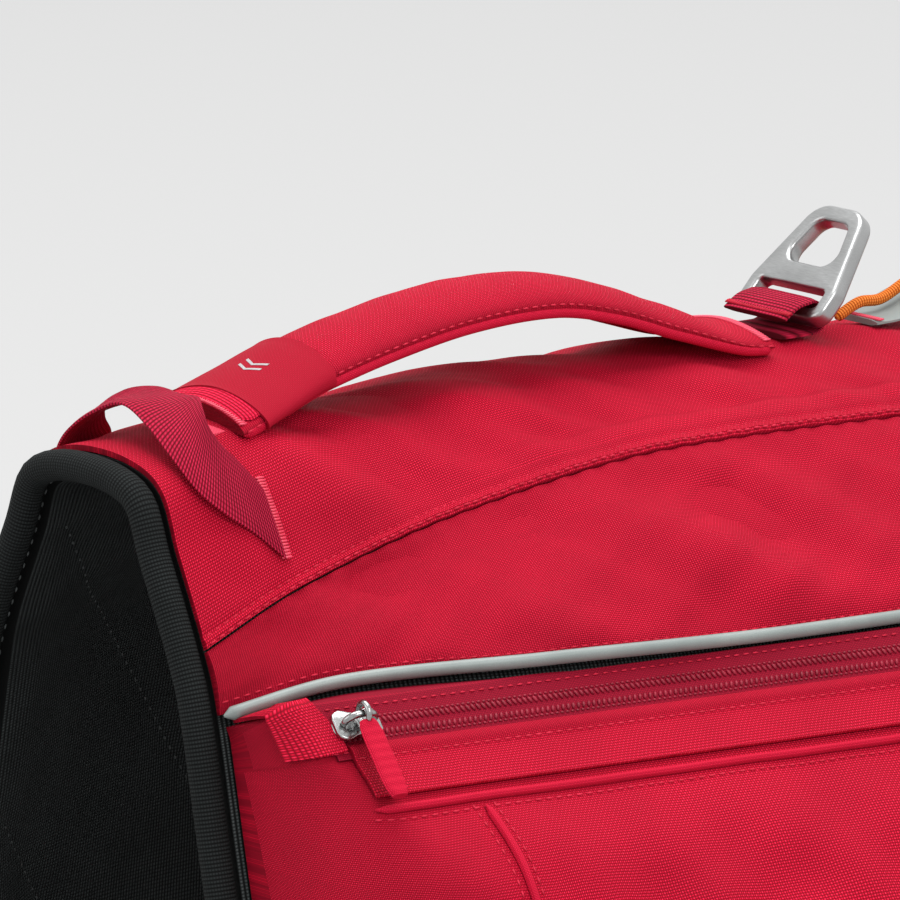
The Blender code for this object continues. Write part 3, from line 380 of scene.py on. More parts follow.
# Forged aluminium, satin on its faces: brushed lines run across, so it blurs what it mirrors.
ALUMINIUM = grained(
    "satin_aluminium", ("9A9B9B", "B2B3B3"), 0.32, 0.0006, 0.00001, (0.25, 3, 3), Metallic=1.0
)
# Moulded acetal of the buckles: black, with the mould's fine spark-eroded grain.
ACETAL = grained("black_acetal", ("0E0F0F", "1C1D1E"), 0.42, 0.0005, 0.00003)
# Braided polyester cord, orange.
ORANGE = ribbed("orange_braid", ("A84612", "DC7224", "EC9048"), 0.0008, 0.0008, 0.0003)
# Silver transfer print.
PRINT = grained("silver_print", ("9A9698", "C4C0C2"), 0.35, 0.0004, 0.00001, Metallic=0.6)

SLOTS = {
    "crimson_nylon": (NYLON, FINE_NYLON, RIB_KNIT, ROSE_PAINTED_HIGHLIGHT, THREAD_RED, THREAD_PINK),
    "wine_tape": (COATED, TAPE, COIL),
    "wine_webbing": (WEB,),
    "charcoal_mesh": (MESH, RIM_MESH, THREAD_GREY),
    "reflective_silver": (REFLECTIVE, PRINT),
    "bright_nickel": (NICKEL,),
    "satin_aluminium": (ALUMINIUM,),
    "black_acetal": (ACETAL,),
    "orange_cord": (ORANGE,),
}
SLOT_OF = {mat.name: slot for slot, mats in SLOTS.items() for mat in mats}


# ---------------------------------------------------------------- making and placing pieces


def show(name, bm, mat, node=None, body="saddle", slot=None, sharp=40):
    """The finished bmesh as a piece in the shared frame, riding on a body and standing for a node."""
    mesh = bpy.data.meshes.new(name)
    bm.to_mesh(mesh)
    bm.free()
    mesh.transform(Matrix.Translation((0, FRONT, 0)))
    mesh.materials.append(mat)
    mesh.shade_smooth()
    mesh.set_sharp_from_angle(angle=math.radians(sharp))
    thing = link(bpy.data.objects.new(name, mesh))
    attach(thing, body)
    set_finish(thing, slot or SLOT_OF[mat.name])
    if node:
        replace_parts(thing, node)
    return thing


def other_side(left):
    """The same piece on the dog's right, with the right side's body and node."""
    words = (left.name, left["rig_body"], *left.get("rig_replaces", ()))
    name, body, *node = (word.replace("left", "right") for word in words)
    bm = bmesh.new()
    bm.from_mesh(left.data)
    bmesh.ops.transform(bm, matrix=Matrix.Scale(-1, 4, (1, 0, 0)), verts=bm.verts)
    bmesh.ops.reverse_faces(bm, faces=bm.faces)
    bmesh.ops.translate(bm, vec=(0, -FRONT, 0), verts=bm.verts)
    return show(name, bm, left.data.materials[0], *node, body=body, slot=left["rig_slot"])


def shares(count):
    """Even steps from 0 to 1."""
    return [i / count for i in range(count + 1)]


def mix(low, high, share):
    return low + (high - low) * share


def distances(points):
    """How far along the line each of its points is."""
    runs = [0.0]
    for a, b in zip(points, points[1:]):
        runs.append(runs[-1] + (b - a).length)
    return runs


def unit_grid(along, across):
    """A flat grid over the unit square, with its UV map on it."""
    bm = bmesh.new()
    bmesh.ops.create_grid(bm, x_segments=along, y_segments=across, size=0.5)
    bmesh.ops.translate(bm, vec=(0.5, 0.5, 0), verts=bm.verts)
    layer = bm.loops.layers.uv.new("cloth")
    for face in bm.faces:
        for loop in face.loops:
            loop[layer].uv = loop.vert.co.xy
    return bm


def bend(bm, place, size=None):
    """Moves the unit grid's points with place(a, b, c), and turns its UV map into metres."""
    if size is None:
        lines = [place(a, 0.5, 1) for a in shares(40)], [place(0.5, b, 1) for b in shares(40)]
        size = [distances(line)[-1] for line in lines]
    layer = bm.loops.layers.uv["cloth"]
    for face in bm.faces:
        for loop in face.loops:
            a, b = loop[layer].uv
            loop[layer].uv = (a * size[0], b * size[1])
    for vert in bm.verts:
        vert.co = place(*vert.co)
    if bm.calc_volume(signed=True) < 0:
        bmesh.ops.reverse_faces(bm, faces=bm.faces)


def cloth(name, place, along, across, mat, size=None, **where):
    """A closed sheet: a runs along it, b across it and c through it, each from 0 to 1."""
    bm = unit_grid(along, across)
    lifted = bmesh.ops.extrude_face_region(bm, geom=bm.faces[:])["geom"]
    for vert in (v for v in lifted if isinstance(v, bmesh.types.BMVert)):
        vert.co.z = 1
    bend(bm, place, size)
    bmesh.ops.recalc_face_normals(bm, faces=bm.faces)
    return show(name, bm, mat, **where)


def wrapped(name, place, along, around, mat, capped=True, size=None, **where):
    """A closed tube: b runs all the way round, and its two edges are merged."""
    bm = unit_grid(along, around)
    bend(bm, place, size)
    bmesh.ops.remove_doubles(bm, verts=bm.verts, dist=0.000005)
    if capped:
        rims = [edge for edge in bm.edges if edge.is_boundary]
        bmesh.ops.holes_fill(bm, edges=rims, sides=0)
    bmesh.ops.recalc_face_normals(bm, faces=bm.faces)
    return show(name, bm, mat, **where)


def hermite(knots, values, t):
    """A smooth curve through values at uneven knots."""
    last = len(knots) - 1
    t = min(max(t, knots[0]), knots[-1])
    i = min(bisect.bisect_right(knots, t) - 1, last - 1)

    def slope(j):
        low, high = max(0, j - 1), min(last, j + 1)
        return (values[high] - values[low]) / (knots[high] - knots[low])

    step = knots[i + 1] - knots[i]
    u = (t - knots[i]) / step
    rise = values[i + 1] - values[i]
    ease = 3 * u**2 - 2 * u**3
    enter = (u**3 - 2 * u**2 + u) * step * slope(i)
    leave = (u**3 - u**2) * step * slope(i + 1)
    return values[i] + rise * ease + enter + leave


def smooth_route(points, steps):
    """Points read from a smooth curve through the given ones."""
    points = [Vector(point) for point in points]
    knots = list(range(len(points)))
    count = (len(points) - 1) * steps
    return [hermite(knots, points, i / steps) for i in range(count + 1)]


def even_route(points, step=CORD_STEP):
    """The same line, with its points a step apart."""
    runs = distances(points)
    wanted = np.linspace(0, runs[-1], max(2, round(runs[-1] / step)) + 1)
    axes = [np.interp(wanted, runs, [p[axis] for p in points]) for axis in range(3)]
    return [Vector(point) for point in zip(*axes)]


def directions(points):
    """The line's direction at each of its points."""
    last = len(points) - 1
    return [(points[min(i + 1, last)] - points[max(i - 1, 0)]).normalized() for i in range(last + 1)]


def round_cord(name, points, radius, sides, mat, flat=1.0, **where):
    """A cord along points; flat squeezes it along its second direction."""
    side = directions(points)[0].orthogonal().normalized()
    frames = []
    for run in directions(points):
        side = (side - run * side.dot(run)).normalized()
        frames.append((side, run.cross(side)))
    last = len(points) - 1
    runs = distances(points)
    inset = min(radius, runs[-1] / 8)

    def place(a, b, _):
        i = round(a * last)
        across, up = frames[i]
        angle = 2 * math.pi * b
        end = min(runs[i], runs[-1] - runs[i]) / inset
        size = radius * math.sqrt(max(1 - (1 - min(end, 1)) ** 2, 0.04))
        return points[i] + across * size * math.cos(angle) + up * size * flat * math.sin(angle)

    size = (runs[-1], 2 * math.pi * radius)
    return wrapped(name, place, last, sides, mat, size=size, **where)


def strap(name, route, width, wide, mat=WEB, **where):
    """Woven webbing along route, with thin rounded edges; wide is the way its width lies."""
    last = len(route) - 1
    wides = [Vector(w).normalized() for w in (wide if len(wide) == len(route) else [wide] * (last + 1))]
    runs = directions(route)

    def place(a, b, c):
        i = round(a * last)
        face = wides[i].cross(runs[i]).normalized()
        edge = (1 - abs(2 * b - 1) ** 5) ** 0.5
        lift = (c - 0.5) * WEBBING * (0.35 + 0.65 * edge)
        return route[i] + wides[i] * (b - 0.5) * width + face * lift

    return cloth(name, place, last, 8, mat, size=(distances(route)[-1], width), **where)


def stitches(name, points, normal, mat=THREAD_RED, kind=SEWING, turned=False, **where):
    """Short threads along a line; normal(point) is the way out there. Turned ones lie across it."""
    pitch, length, thick = kind
    line = even_route(points, pitch)
    bm = bmesh.new()
    bm.loops.layers.uv.new("cloth")
    for here, run in zip(line, directions(line)):
        out = normal(here).normalized()
        side = out.cross(run).normalized()
        if turned:
            run, side = side, run
        out = run.cross(side)
        axes = Matrix((run * length / 2, side * thick, out * thick)).transposed().to_4x4()
        bmesh.ops.create_icosphere(
            bm, subdivisions=1, radius=1, matrix=Matrix.Translation(here) @ axes
        )
    bmesh.ops.recalc_face_normals(bm, faces=bm.faces)
    return show(name, bm, mat, sharp=180, **where)


def tack(name, points, normal, kind, mat=THREAD_PINK, **where):
    """A bar of satin stitching along a line."""
    return stitches(name, points, normal, mat, kind, turned=True, **where)


def plate(name, outlines, thickness, edge, matrix, mat, **where):
    """A flat plate with rounded edges, in the matrix's own XY plane; outlines after the first are holes."""
    curve = bpy.data.curves.new(name, "CURVE")
    curve.dimensions = "2D"
    curve.fill_mode = "BOTH"
    curve.extrude = thickness / 2 - edge
    curve.bevel_depth = edge
    curve.bevel_resolution = 3
    curve.offset = -edge
    for outline in outlines:
        spline = curve.splines.new("POLY")
        spline.points.add(len(outline) - 1)
        for target, point in zip(spline.points, outline):
            target.co = (*point, 0, 1)
        spline.use_cyclic_u = True
    drawn = link(bpy.data.objects.new(name, curve))
    graph = bpy.context.evaluated_depsgraph_get()
    mesh = bpy.data.meshes.new_from_object(drawn.evaluated_get(graph))
    bpy.data.objects.remove(drawn)
    bm = bmesh.new()
    bm.from_mesh(mesh)
    bpy.data.meshes.remove(mesh)
    bmesh.ops.remove_doubles(bm, verts=bm.verts, dist=0.00001)
    bmesh.ops.recalc_face_normals(bm, faces=bm.faces)
    bmesh.ops.transform(bm, matrix=matrix, verts=bm.verts)
    return show(name, bm, mat, **where)


def rounded(corners, radius, steps=6):
    """A closed outline whose corners are turned into arcs."""
    outline = []
    for i, corner in enumerate(corners):
        here = Vector(corner)
        before = Vector(corners[i - 1]) - here
        after = Vector(corners[(i + 1) % len(corners)]) - here
        half = before.angle(after) / 2
        setback = min(radius / math.tan(half), 0.45 * before.length, 0.45 * after.length)
        towards = (before.normalized() + after.normalized()).normalized()
        centre = here + towards * (setback / math.cos(half))
        start = here + before.normalized() * setback - centre
        end = here + after.normalized() * setback - centre
        turn = start.angle_signed(end)
        for step in range(steps + 1):
            outline.append(centre + Matrix.Rotation(-turn * step / steps, 2) @ start)
    return outline


def softened(node, body):
    """A hard moulding of a buckle: the frame's own solid with its edges rounded."""
    bm = bmesh.new()
    bm.from_mesh(frame["nodes"][node].data)
    bmesh.ops.remove_doubles(bm, verts=bm.verts, dist=0.00001)
    bmesh.ops.dissolve_limit(bm, angle_limit=math.radians(2), verts=bm.verts, edges=bm.edges)
    edges = [e for e in bm.edges if len(e.link_faces) == 2 and e.calc_face_angle() > math.radians(35)]
    bmesh.ops.bevel(
        bm, geom=edges, offset=0.0005, offset_type="OFFSET", segments=2, profile=0.5,
        affect="EDGES", clamp_overlap=True, material=-1,
    )
    bmesh.ops.translate(bm, vec=(0, -FRONT, 0), verts=bm.verts)
    return show(node + "_moulding", bm, ACETAL, node, body, sharp=50)


def ease(t):
    t = min(max(t, 0), 1)
    return t * t * (3 - 2 * t)


def hump(x, middle, width):
    """A smooth bump, 1 at its middle."""
    return math.exp(-(((x - middle) / width) ** 2))


def near_ends(y, width):
    """0 at the saddle's front and rear edges, 1 from a width inside them."""
    return ease(min(y, SADDLE_LENGTH - y) / width)


def folds(u, v, size, turn, seed=0.0, long=3.5):
    """Soft folds of a given width in cloth, between -1 and 1; turn is the way they run."""
    along = u * math.cos(turn) + v * math.sin(turn)
    across = v * math.cos(turn) - u * math.sin(turn)
    return noise.noise(Vector((along / (long * size), across / size, seed)))


# ---------------------------------------------------------------- the saddle's surface


@cache
def section(y):
    """How far out and how high each station is, at a distance behind the front edge."""
    outs, heights = [], []
    for station in range(PIPING + 1):
        outs.append(hermite(SECTION_ROWS, [row[station][0] for row in UPPER_STATIONS], y))
        drop = hermite(SECTION_ROWS, [row[station][1] for row in UPPER_STATIONS], y)
        heights.append(RIM_HEIGHT - drop)
    for station, share in enumerate(LOWER_SHARES):
        outs.append(hermite(SECTION_ROWS, [row[station] for row in LOWER_STATIONS], y))
        heights.append(heights[PIPING] + share * (HEM_HEIGHT - heights[PIPING]))
    return [-v for v in outs[:0:-1]] + outs, heights[:0:-1] + heights


def lining_at(y, s):
    """How far out and how high the lining's outer face is; s below 0 is the dog's right."""
    outs, heights = section(y)
    return hermite(STATIONS, outs, s), hermite(STATIONS, heights, s)


@cache
def saddle_frame(y, s):
    """A point on the lining's outer face and the way out of it."""
    step = 0.001
    out, height = lining_at(y, s)
    low_s, high_s = lining_at(y, s - step), lining_at(y, s + step)
    low_y, high_y = lining_at(y - step, s), lining_at(y + step, s)
    down = Vector((high_s[0] - low_s[0], 0, high_s[1] - low_s[1]))
    back = Vector((high_y[0] - low_y[0], 2 * step, high_y[1] - low_y[1]))
    return Vector((out, y, height)), down.cross(back).normalized()


def saddle(y, s, lift=0.0):
    point, out = saddle_frame(y, s)
    return point + out * lift


@cache
def girth(y):
    """Distances over the back from the ridge, at stations a quarter apart."""
    return distances([Vector(lining_at(y, s)) for s in QUARTERS])


def reach(y, s):
    """How far from the ridge, over the surface, a station is."""
    return math.copysign(float(np.interp(abs(s), QUARTERS, girth(y))), s)


def station(y, distance):
    """The station at a distance from the ridge."""
    return math.copysign(float(np.interp(abs(distance), girth(y), QUARTERS)), distance)


def search(low, high, before):
    """The station between low and high where before(station) stops being true."""
    for _ in range(30):
        middle = (low + high) / 2
        if before(middle):
            low = middle
        else:
            high = middle
    return low


@cache
def lining_out(y, height):
    """How far out the lining's face is at a height below the piping."""
    return lining_at(y, search(PIPING, HEM, lambda s: lining_at(y, s)[1] > height))[0]


def ridge(y, lift=0.0):
    """Height of the red ridge."""
    return lining_at(y, 0)[1] + PANEL_TOP + lift


def spine_lift(y, distance):
    """Height of the spine panel's face over the lining: folds, and a roll at the seam."""
    edge = reach(y, SEAM) - abs(distance)
    calm = ease(edge / 0.016)
    wave = 0.0030 * folds(y, distance, 0.019, 1.15, 3.1) + 0.0015 * folds(y, distance, 0.009, 0.6, 8.4)
    pucker = 0.00022 * math.sin(2 * math.pi * y / 0.0087) * ease(1 - edge / 0.012)
    # The folded edge stands up, with a shallow furrow where it is sewn down 3 mm in.
    roll = 0.0009 * hump(edge, 0.0012, 0.0011)
    furrow = -0.0004 * hump(edge, 0.0032, 0.0007)
    return PANEL_TOP + (wave * calm + pucker) * near_ends(y, 0.02) + roll + furrow


def side_lift(y, distance):
    """Height of a side panel's face: it swells between the seam and the piping."""
    start, end = reach(y, SEAM), reach(y, PIPING)
    share = (distance - start) / (end - start)
    swell = 0.0016 * (max(4 * share * (1 - share), 0)) ** 0.6
    wave = 0.0046 * folds(y, distance, 0.019, 0.75, 5.7) + 0.0015 * folds(y, distance, 0.009, -0.5, 1.9)
    calm = ease(4 * share * (1 - share) * 1.4)
    pucker = 0.0003 * math.sin(2 * math.pi * y / 0.0079 + 1) * ease(1 - (distance - start) / 0.010)
    return PANEL_TOP - 0.0004 + swell + (wave * calm + pucker) * near_ends(y, 0.02)


def make_panels():
    edge = 0.0003

    def place_spine(a, b, c):
        y = SADDLE_LENGTH * a
        distance = (reach(y, SEAM) - edge) * (2 * b - 1)
        return saddle(y, station(y, distance), spine_lift(y, distance) if c else PANEL_GAP)

    def place_side(a, b, c):
        y = SADDLE_LENGTH * a
        distance = mix(reach(y, SEAM) + edge, reach(y, PIPING) - edge, b)
        return saddle(y, station(y, distance), side_lift(y, distance) if c else PANEL_GAP)

    spine = cloth("spine_cloth", place_spine, 200, 84, NYLON, node="spine_panel")
    left = cloth("side_cloth_left", place_side, 200, 34, NYLON, node="side_panel_left")
    right = other_side(left)
    seam, piping = (reach(SADDLE_LENGTH / 2, edge) for edge in (SEAM, PIPING))

    rows = (
        # name, edge it follows, how far in, the cloth's own height, and how far over it
        ("seam_stitches_left", SEAM, 0.0032, spine_lift, 0.0),
        ("seam_edge_stitches_left", SEAM, 0.0009, spine_lift, 0.0002),
        ("piping_stitches_left", PIPING, 0.0028, side_lift, 0.0),
    )
    for name, edge, inset, height, lift in rows:
        line = []
        for y in (mix(0.002, SADDLE_LENGTH - 0.002, share) for share in shares(160)):
            distance = reach(y, edge) - inset
            line.append(saddle(y, station(y, distance), height(y, distance) + lift))
        other_side(stitches(name, line, outwards))


@cache
def row_of_frames(y):
    """Points over the saddle from hem to hem, as (x, z), and the ways out at them."""
    frames = [saddle_frame(y, i / 8) for i in range(-8 * HEM, 8 * HEM + 1)]
    return np.array([(point.x, point.z) for point, _ in frames]), [out for _, out in frames]


def outwards(point):
    """The way out of the saddle near a point."""
    spots, outs = row_of_frames(round(min(max(point.y, 0.0), SADDLE_LENGTH), 2))
    gaps = spots - (point.x, point.z)
    return outs[int(np.argmin((gaps * gaps).sum(axis=1)))]


def quilt_gap(y, distance):
    """Distance to the nearest quilting line; the lines run down and back on both sides."""
    line = (y * QUILT_BACK - abs(distance) * QUILT_DOWN) / QUILT + 0.35
    return abs(line - round(line)) * QUILT


def lining_depth(y, distance):
    """How far the lining's inner face is from its outer one, swollen between the quilting."""
    puff = 1 - math.exp(-((quilt_gap(y, distance) / 0.007) ** 1.3))
    return LINING_THICKNESS - 0.0012 + QUILT_DEPTH * puff * near_ends(y, 0.01)


def quilting_line(number):
    """One line of the quilting's thread, in the furrow of the inner face."""
    run = []
    for y in (SADDLE_LENGTH * i / 320 for i in range(321)):
        distance = (y * QUILT_BACK - (number - 0.35) * QUILT) / QUILT_DOWN
        if 0.004 < distance < reach(y, HEM) - 0.006 and 0.006 < y < SADDLE_LENGTH - 0.006:
            run.append(saddle(y, station(y, distance), -lining_depth(y, distance) - 0.0001))
    return run


def make_lining():
    def place(a, b, c):
        y, s = SADDLE_LENGTH * a, mix(-HEM, HEM, b)
        return saddle(y, s, 0.0 if c else -lining_depth(y, reach(y, s)))

    # One way round the saddle is 0.62 m, so the ribs' spacing needs that length.
    size = (SADDLE_LENGTH, 2 * reach(SADDLE_LENGTH / 2, HEM))
    lining = cloth("lining_cloth", place, 110, 240, MESH, size, node="saddle_lining")

    for number in range(-7, 6):
        run = quilting_line(number)
        if len(run) > 12:
            name = f"quilting_left_{number + 7:02d}"
            other_side(stitches(name, run, outwards, THREAD_GREY, QUILTING))


def make_rims():
    inset = BINDING_RADIUS - PANEL_TOP / 2 - TOUCH
    for end, edge, back in (("front", 0.0, -1), ("rear", SADDLE_LENGTH, 1)):
        y = edge + back * (BINDING_RADIUS + TOUCH)
        points, sewn = [], []
        for s in (mix(-HEM, HEM, share) for share in shares(200)):
            rim = saddle(edge, s, -inset)
            points.append(Vector((rim.x, y, rim.z)))
            # The rim's own sewing, where the mesh is caught down inside the arch.
            rim = saddle(edge, s * 0.985, -inset - 0.0034)
            sewn.append(Vector((rim.x, y - back * 0.0026, rim.z)))
        points = even_route(points)
        round_cord(f"{end}_rim", points, BINDING_RADIUS, 24, RIM_MESH, node=f"{end}_binding")
        stitches(f"{end}_rim_stitches", sewn, outwards, THREAD_GREY, RIM_SEWING)


def make_piping():
    points = [saddle(SADDLE_LENGTH * share, PIPING, PANEL_TOP + 0.0023) for share in shares(120)]
    other_side(
        round_cord("piping_cord_left", points, 0.0020, 16, REFLECTIVE, flat=0.85, node="piping_left")
    )


# ---------------------------------------------------------------- saddlebags


def zip_centre(y):
    return Vector((ZIP_SPREAD + ZIP_SPLAY * (y - ZIP_SPREAD_AT), y, ZIP_HEIGHT))


def zip_frame(centre, down, lift):
    """Axes on a zip of the left bag: X along the zip, Y up across it, Z out of it."""
    out = down.cross(ZIP_ALONG).normalized()
    turn = Matrix((ZIP_ALONG, out.cross(ZIP_ALONG), out)).transposed().to_4x4()
    return Matrix.Translation(centre + out * lift) @ turn


def band_frame(y, lift=0.0):
    return zip_frame(zip_centre(y), BAND_DOWN, lift)


def bag_ring(share):
    """The bag's rings stand closer together towards its ends."""
    return mix(BAG_END_GAP, SADDLE_LENGTH - BAG_END_GAP, (1 - math.cos(math.pi * share)) / 2)


def from_end(y):
    return max(min(y - BAG_END_GAP, SADDLE_LENGTH - BAG_END_GAP - y), 0)


def quarter_round(distance, radius):
    """Rises from 0 to 1 along a quarter circle."""
    return math.sqrt(1 - (1 - min(distance / radius, 1)) ** 2)


def raised(y, height):
    """A height in the bag, lifted near its ends where the bottom corners are round."""
    lift = BAG_BOTTOM_RADIUS * (1 - quarter_round(from_end(y), BAG_BOTTOM_RADIUS))
    shoulder = ZIP_HEIGHT * BAG_HIGH[0]
    return lift + height * (1 - lift / shoulder) if height < shoulder else height


def bag_inner(y, k):
    """The bag's face towards the dog at station k, from 0 at the piping to 7 at the floor."""
    top = lining_at(y, BAG_TOP)[1]
    heights = [top, top - 0.003, top - 0.011, *(ZIP_HEIGHT * share for share in BAG_HIGH)]
    height = raised(y, hermite(list(range(8)), heights, k))
    gap = BAG_LINING_GAP if k >= 1 else 0.0006 + (BAG_LINING_GAP - 0.0006) * k
    return Vector((lining_out(y, height) + gap, y, height))


@cache
def bag_outer(y, k):
    """The bag's outer face at station k; between 1 and 2 it is the flat band under the zip."""
    across = BAND_DOWN * BAND_HALF_WIDTH
    centre = zip_centre(y)
    knots = [saddle(y, BAG_TOP, PANEL_TOP), centre - across, centre + across]
    for out, high in zip(BAG_OUT, BAG_HIGH):
        knots.append(Vector((centre.x + out * BAG_DEPTH, y, ZIP_HEIGHT * high)))
    if k <= 2:
        low = min(int(k), 1)
        full = knots[low].lerp(knots[low + 1], k - low)
    else:
        full = hermite(list(range(8)), knots, k)
    full.z = raised(y, full.z)
    radius = BAND_END_RADIUS
    if k > 2:
        radius += (BAG_END_RADIUS - BAND_END_RADIUS) * min((k - 2) / 2, 1)
    inner = bag_inner(y, k)
    thin = 0.12 if k > 2 else 0.25
    share = thin + (1 - thin) * quarter_round(from_end(y), radius)
    return inner.lerp(full, 1 if k == 0 else share)


def bag_surface(y, k, lift):
    """A point on the bag's outer face, lifted along its normal."""
    step = 0.002
    down = bag_outer(y, k + step) - bag_outer(y, k - step)
    back = bag_outer(y + step, k) - bag_outer(y - step, k)
    return bag_outer(y, k) + down.cross(back).normalized() * lift


def on_pocket(y, k):
    """1 well inside the stash pocket's place, 0 outside it."""
    first, last = (bag_ring(column / BAG_RINGS) for column in POCKET_COLUMNS)
    low, high = POCKET_ROWS
    across = ease((y - first) / 0.010 + 0.5) * ease((last - y) / 0.010 + 0.5)
    return across * ease((k - low) / 0.3 + 0.5) * ease((high - k) / 0.3 + 0.5)


def bag_sag(y, k):
    """How far the bag's cloth stands from its plain form: slack folds that fade out at its seams."""
    slack = ease((k - 2.25) / 0.9) * ease((6.75 - k) / 0.9) * ease(from_end(y) / 0.03)
    down = k * 0.045
    wide = folds(y, down, 0.040, 0.25, 2.2, 2.2)
    small = folds(y, down, 0.016, 1.1, 6.1, 3.0) + 0.6 * folds(y, down, 0.012, -0.7, 9.3, 3.0)
    return slack * (1 - on_pocket(y, k)) * (0.0042 * wide + 0.0024 * small)


def slack_surface(y, k, lift=0.0):
    """A point on the bag's outer face with its slack folds, lifted along its normal."""
    return bag_surface(y, k, lift + bag_sag(y, k))


def bag_seam(name, spots, rows):
    """A seam's rolled edge, and its rows of stitches, each some way back, down and out from it."""
    roll = even_route([slack_surface(y, k, 0.0007) for y, k in spots])
    other_side(round_cord(name + "_left", roll, 0.0011, 8, FINE_NYLON))
    for tag, back, down, lift in rows:
        sewn = [slack_surface(y + back, k + down, lift) for y, k in spots]
        other_side(stitches(f"{name}_{tag}_left", sewn, bag_out))


def make_bags():
    def place(a, b, c):
        y, k = bag_ring(a), 7 * b
        if not c:
            return bag_inner(y, k)
        if 0.01 < k < 6.99 and 0.001 < a < 0.999:
            point = slack_surface(y, k)
            point.z = max(point.z, 0.0)
            return point
        return bag_outer(y, k)

    other_side(cloth("bag_cloth_left", place, 130, 168, NYLON, node="saddlebag_left"))

    # Seams run down both ends, and along the shoulder and the foot.
    twin_rows = (("stitches_a", -0.003, 0, 0.0001), ("stitches_b", 0.003, 0, 0.0001))
    for name, y in (("front_end_seam", 0.040), ("rear_end_seam", SADDLE_LENGTH - 0.040)):
        bag_seam(name, [(y, mix(2.48, 6.58, share)) for share in shares(60)], twin_rows)
    row = (("stitches", 0, 0.07, 0.0002),)
    bag_seam("shoulder_seam", [(mix(0.012, 0.308, share), 2.42) for share in shares(80)], row)
    bag_seam("foot_seam", [(mix(0.050, 0.270, share), 6.42) for share in shares(60)], row)


def bag_out(point):
    """The way out of the bag's face near a point: outwards from a line inside the bag."""
    return Vector((point.x - 0.105, 0.0, (point.z - 0.12) * 0.6)).normalized()


def pocket_spot(a, b):
    """The bag's ring and station at shares of the pocket's length and height."""
    return bag_ring(mix(*POCKET_COLUMNS, a) / BAG_RINGS), mix(*POCKET_ROWS, b)


def make_pockets():
    def place(a, b, c):
        y, k = pocket_spot(a, b)
        rim = min(min(a, 1 - a) * 14, min(b, 1 - b) * 8)
        calm = ease(abs(k - POCKET_ZIP) / 0.35 - 0.6)
        wave = 0.0014 * folds(y, k * 0.045, 0.020, 0.9, 4.4) * calm * ease(rim - 0.5)
        depth = mix(0.002, POCKET_DEPTH, ease(rim) ** 0.7) + wave
        return bag_surface(y, k, TOUCH + depth * c)

    other_side(cloth("pocket_cloth_left", place, 90, 64, NYLON, node="stash_pocket_left"))

    outline = []
    near, far = 0.012, 0.024  # the binding's insets, as shares of the pocket
    corners = [(near, far), (1 - near, far), (1 - near, 1 - far), (near, 1 - far)]
    for (a0, b0), (a1, b1) in zip(corners, corners[1:] + corners[:1]):
        for share in shares(30)[:-1]:
            spot = pocket_spot(mix(a0, a1, share), mix(b0, b1, share))
            outline.append(bag_surface(*spot, TOUCH + 0.0026))
    outline = even_route(outline + outline[:1])
    other_side(round_cord("pocket_binding_left", outline, 0.0013, 8, FINE_NYLON))


# ---------------------------------------------------------------- zips


def pocket_frame(y, lift=0.0):
    upper, lower = (bag_surface(y, row, POCKET_DEPTH) for row in (4.08, 4.42))
    centre = bag_surface(y, POCKET_ZIP, POCKET_DEPTH + TOUCH)
    return zip_frame(centre, lower - upper, lift)


def make_coil(name, place, front, rear):
    """Two rows of nylon loops, each loop between two of the other row, 1.5 mm apart."""
    pitch = 0.0015
    loop = Matrix.Diagonal((0.0005, 0.00115, 0.0005, 1))
    knot = Matrix.Diagonal((0.0006, 0.0004, 0.0003, 1))
    bm = bmesh.new()
    bm.loops.layers.uv.new("cloth")
    for i in range(int((rear - front) / pitch)):
        for side in (-1, 1):
            y = front + pitch * (i + 0.25 * side + 0.5)
            tilt = Matrix.Rotation(side * 0.35, 4, "Z")
            spot = place(y, 0.0010) @ Matrix.Translation((0, side * 0.0017, 0)) @ tilt @ loop
            bmesh.ops.create_icosphere(bm, subdivisions=1, radius=1, matrix=spot)
            # The thread that holds the loops down makes a small knot at their outer ends.
            spot = place(y + pitch / 2, 0.0009) @ Matrix.Translation((0, side * 0.0031, 0)) @ knot
            bmesh.ops.create_icosphere(bm, subdivisions=1, radius=1, matrix=spot)
    bmesh.ops.recalc_face_normals(bm, faces=bm.faces)
    return show(name, bm, COIL, sharp=180)


# Half widths of the slider's top plate along it: two lobes in front, a narrow waist, small wings.
SLIDER_WIDTHS = (
    (-1.0, 0.45), (-0.94, 0.74), (-0.8, 0.9), (-0.62, 1.0), (-0.42, 0.94), (-0.22, 0.80),
    (0.0, 0.74), (0.25, 0.80), (0.5, 0.92), (0.72, 0.94), (0.9, 0.82), (1.0, 0.55),
)


def make_slider(name, place, rest):
    """Die-cast slider: a waisted top plate, a lower plate, and a round bail."""
    body = name + "_left"
    half = SLIDER_LENGTH / 2
    outline = [(x * half, w * 0.0043) for x, w in SLIDER_WIDTHS]
    outline = [(x, -w) for x, w in outline] + outline[::-1]
    narrow = [(x, w * 0.55) for x, w in outline]
    base = place(rest, ZIP_FACE)
    for part, shape, thickness, edge, height, node in (
        ("plate", outline, 0.0014, 0.0004, 0.0015, body), ("foot", narrow, 0.0008, 0.0003, 0.0004, None),
    ):
        spot = base @ Matrix.Translation((0, 0, height))
        piece = f"{name}_{part}_left"
        other_side(plate(piece, [shape], thickness, edge, spot, NICKEL, node=node, body=body))
    arch = []
    for angle in (math.pi * share for share in shares(16)):
        spot = Vector((-0.0043 * math.cos(angle), 0, 0.0019 + 0.0045 * math.sin(angle) ** 0.6))
        arch.append(base @ spot)
    arch = even_route(arch, 0.0006)
    other_side(round_cord(name + "_bail_left", arch, 0.00095, 12, NICKEL, body=body))


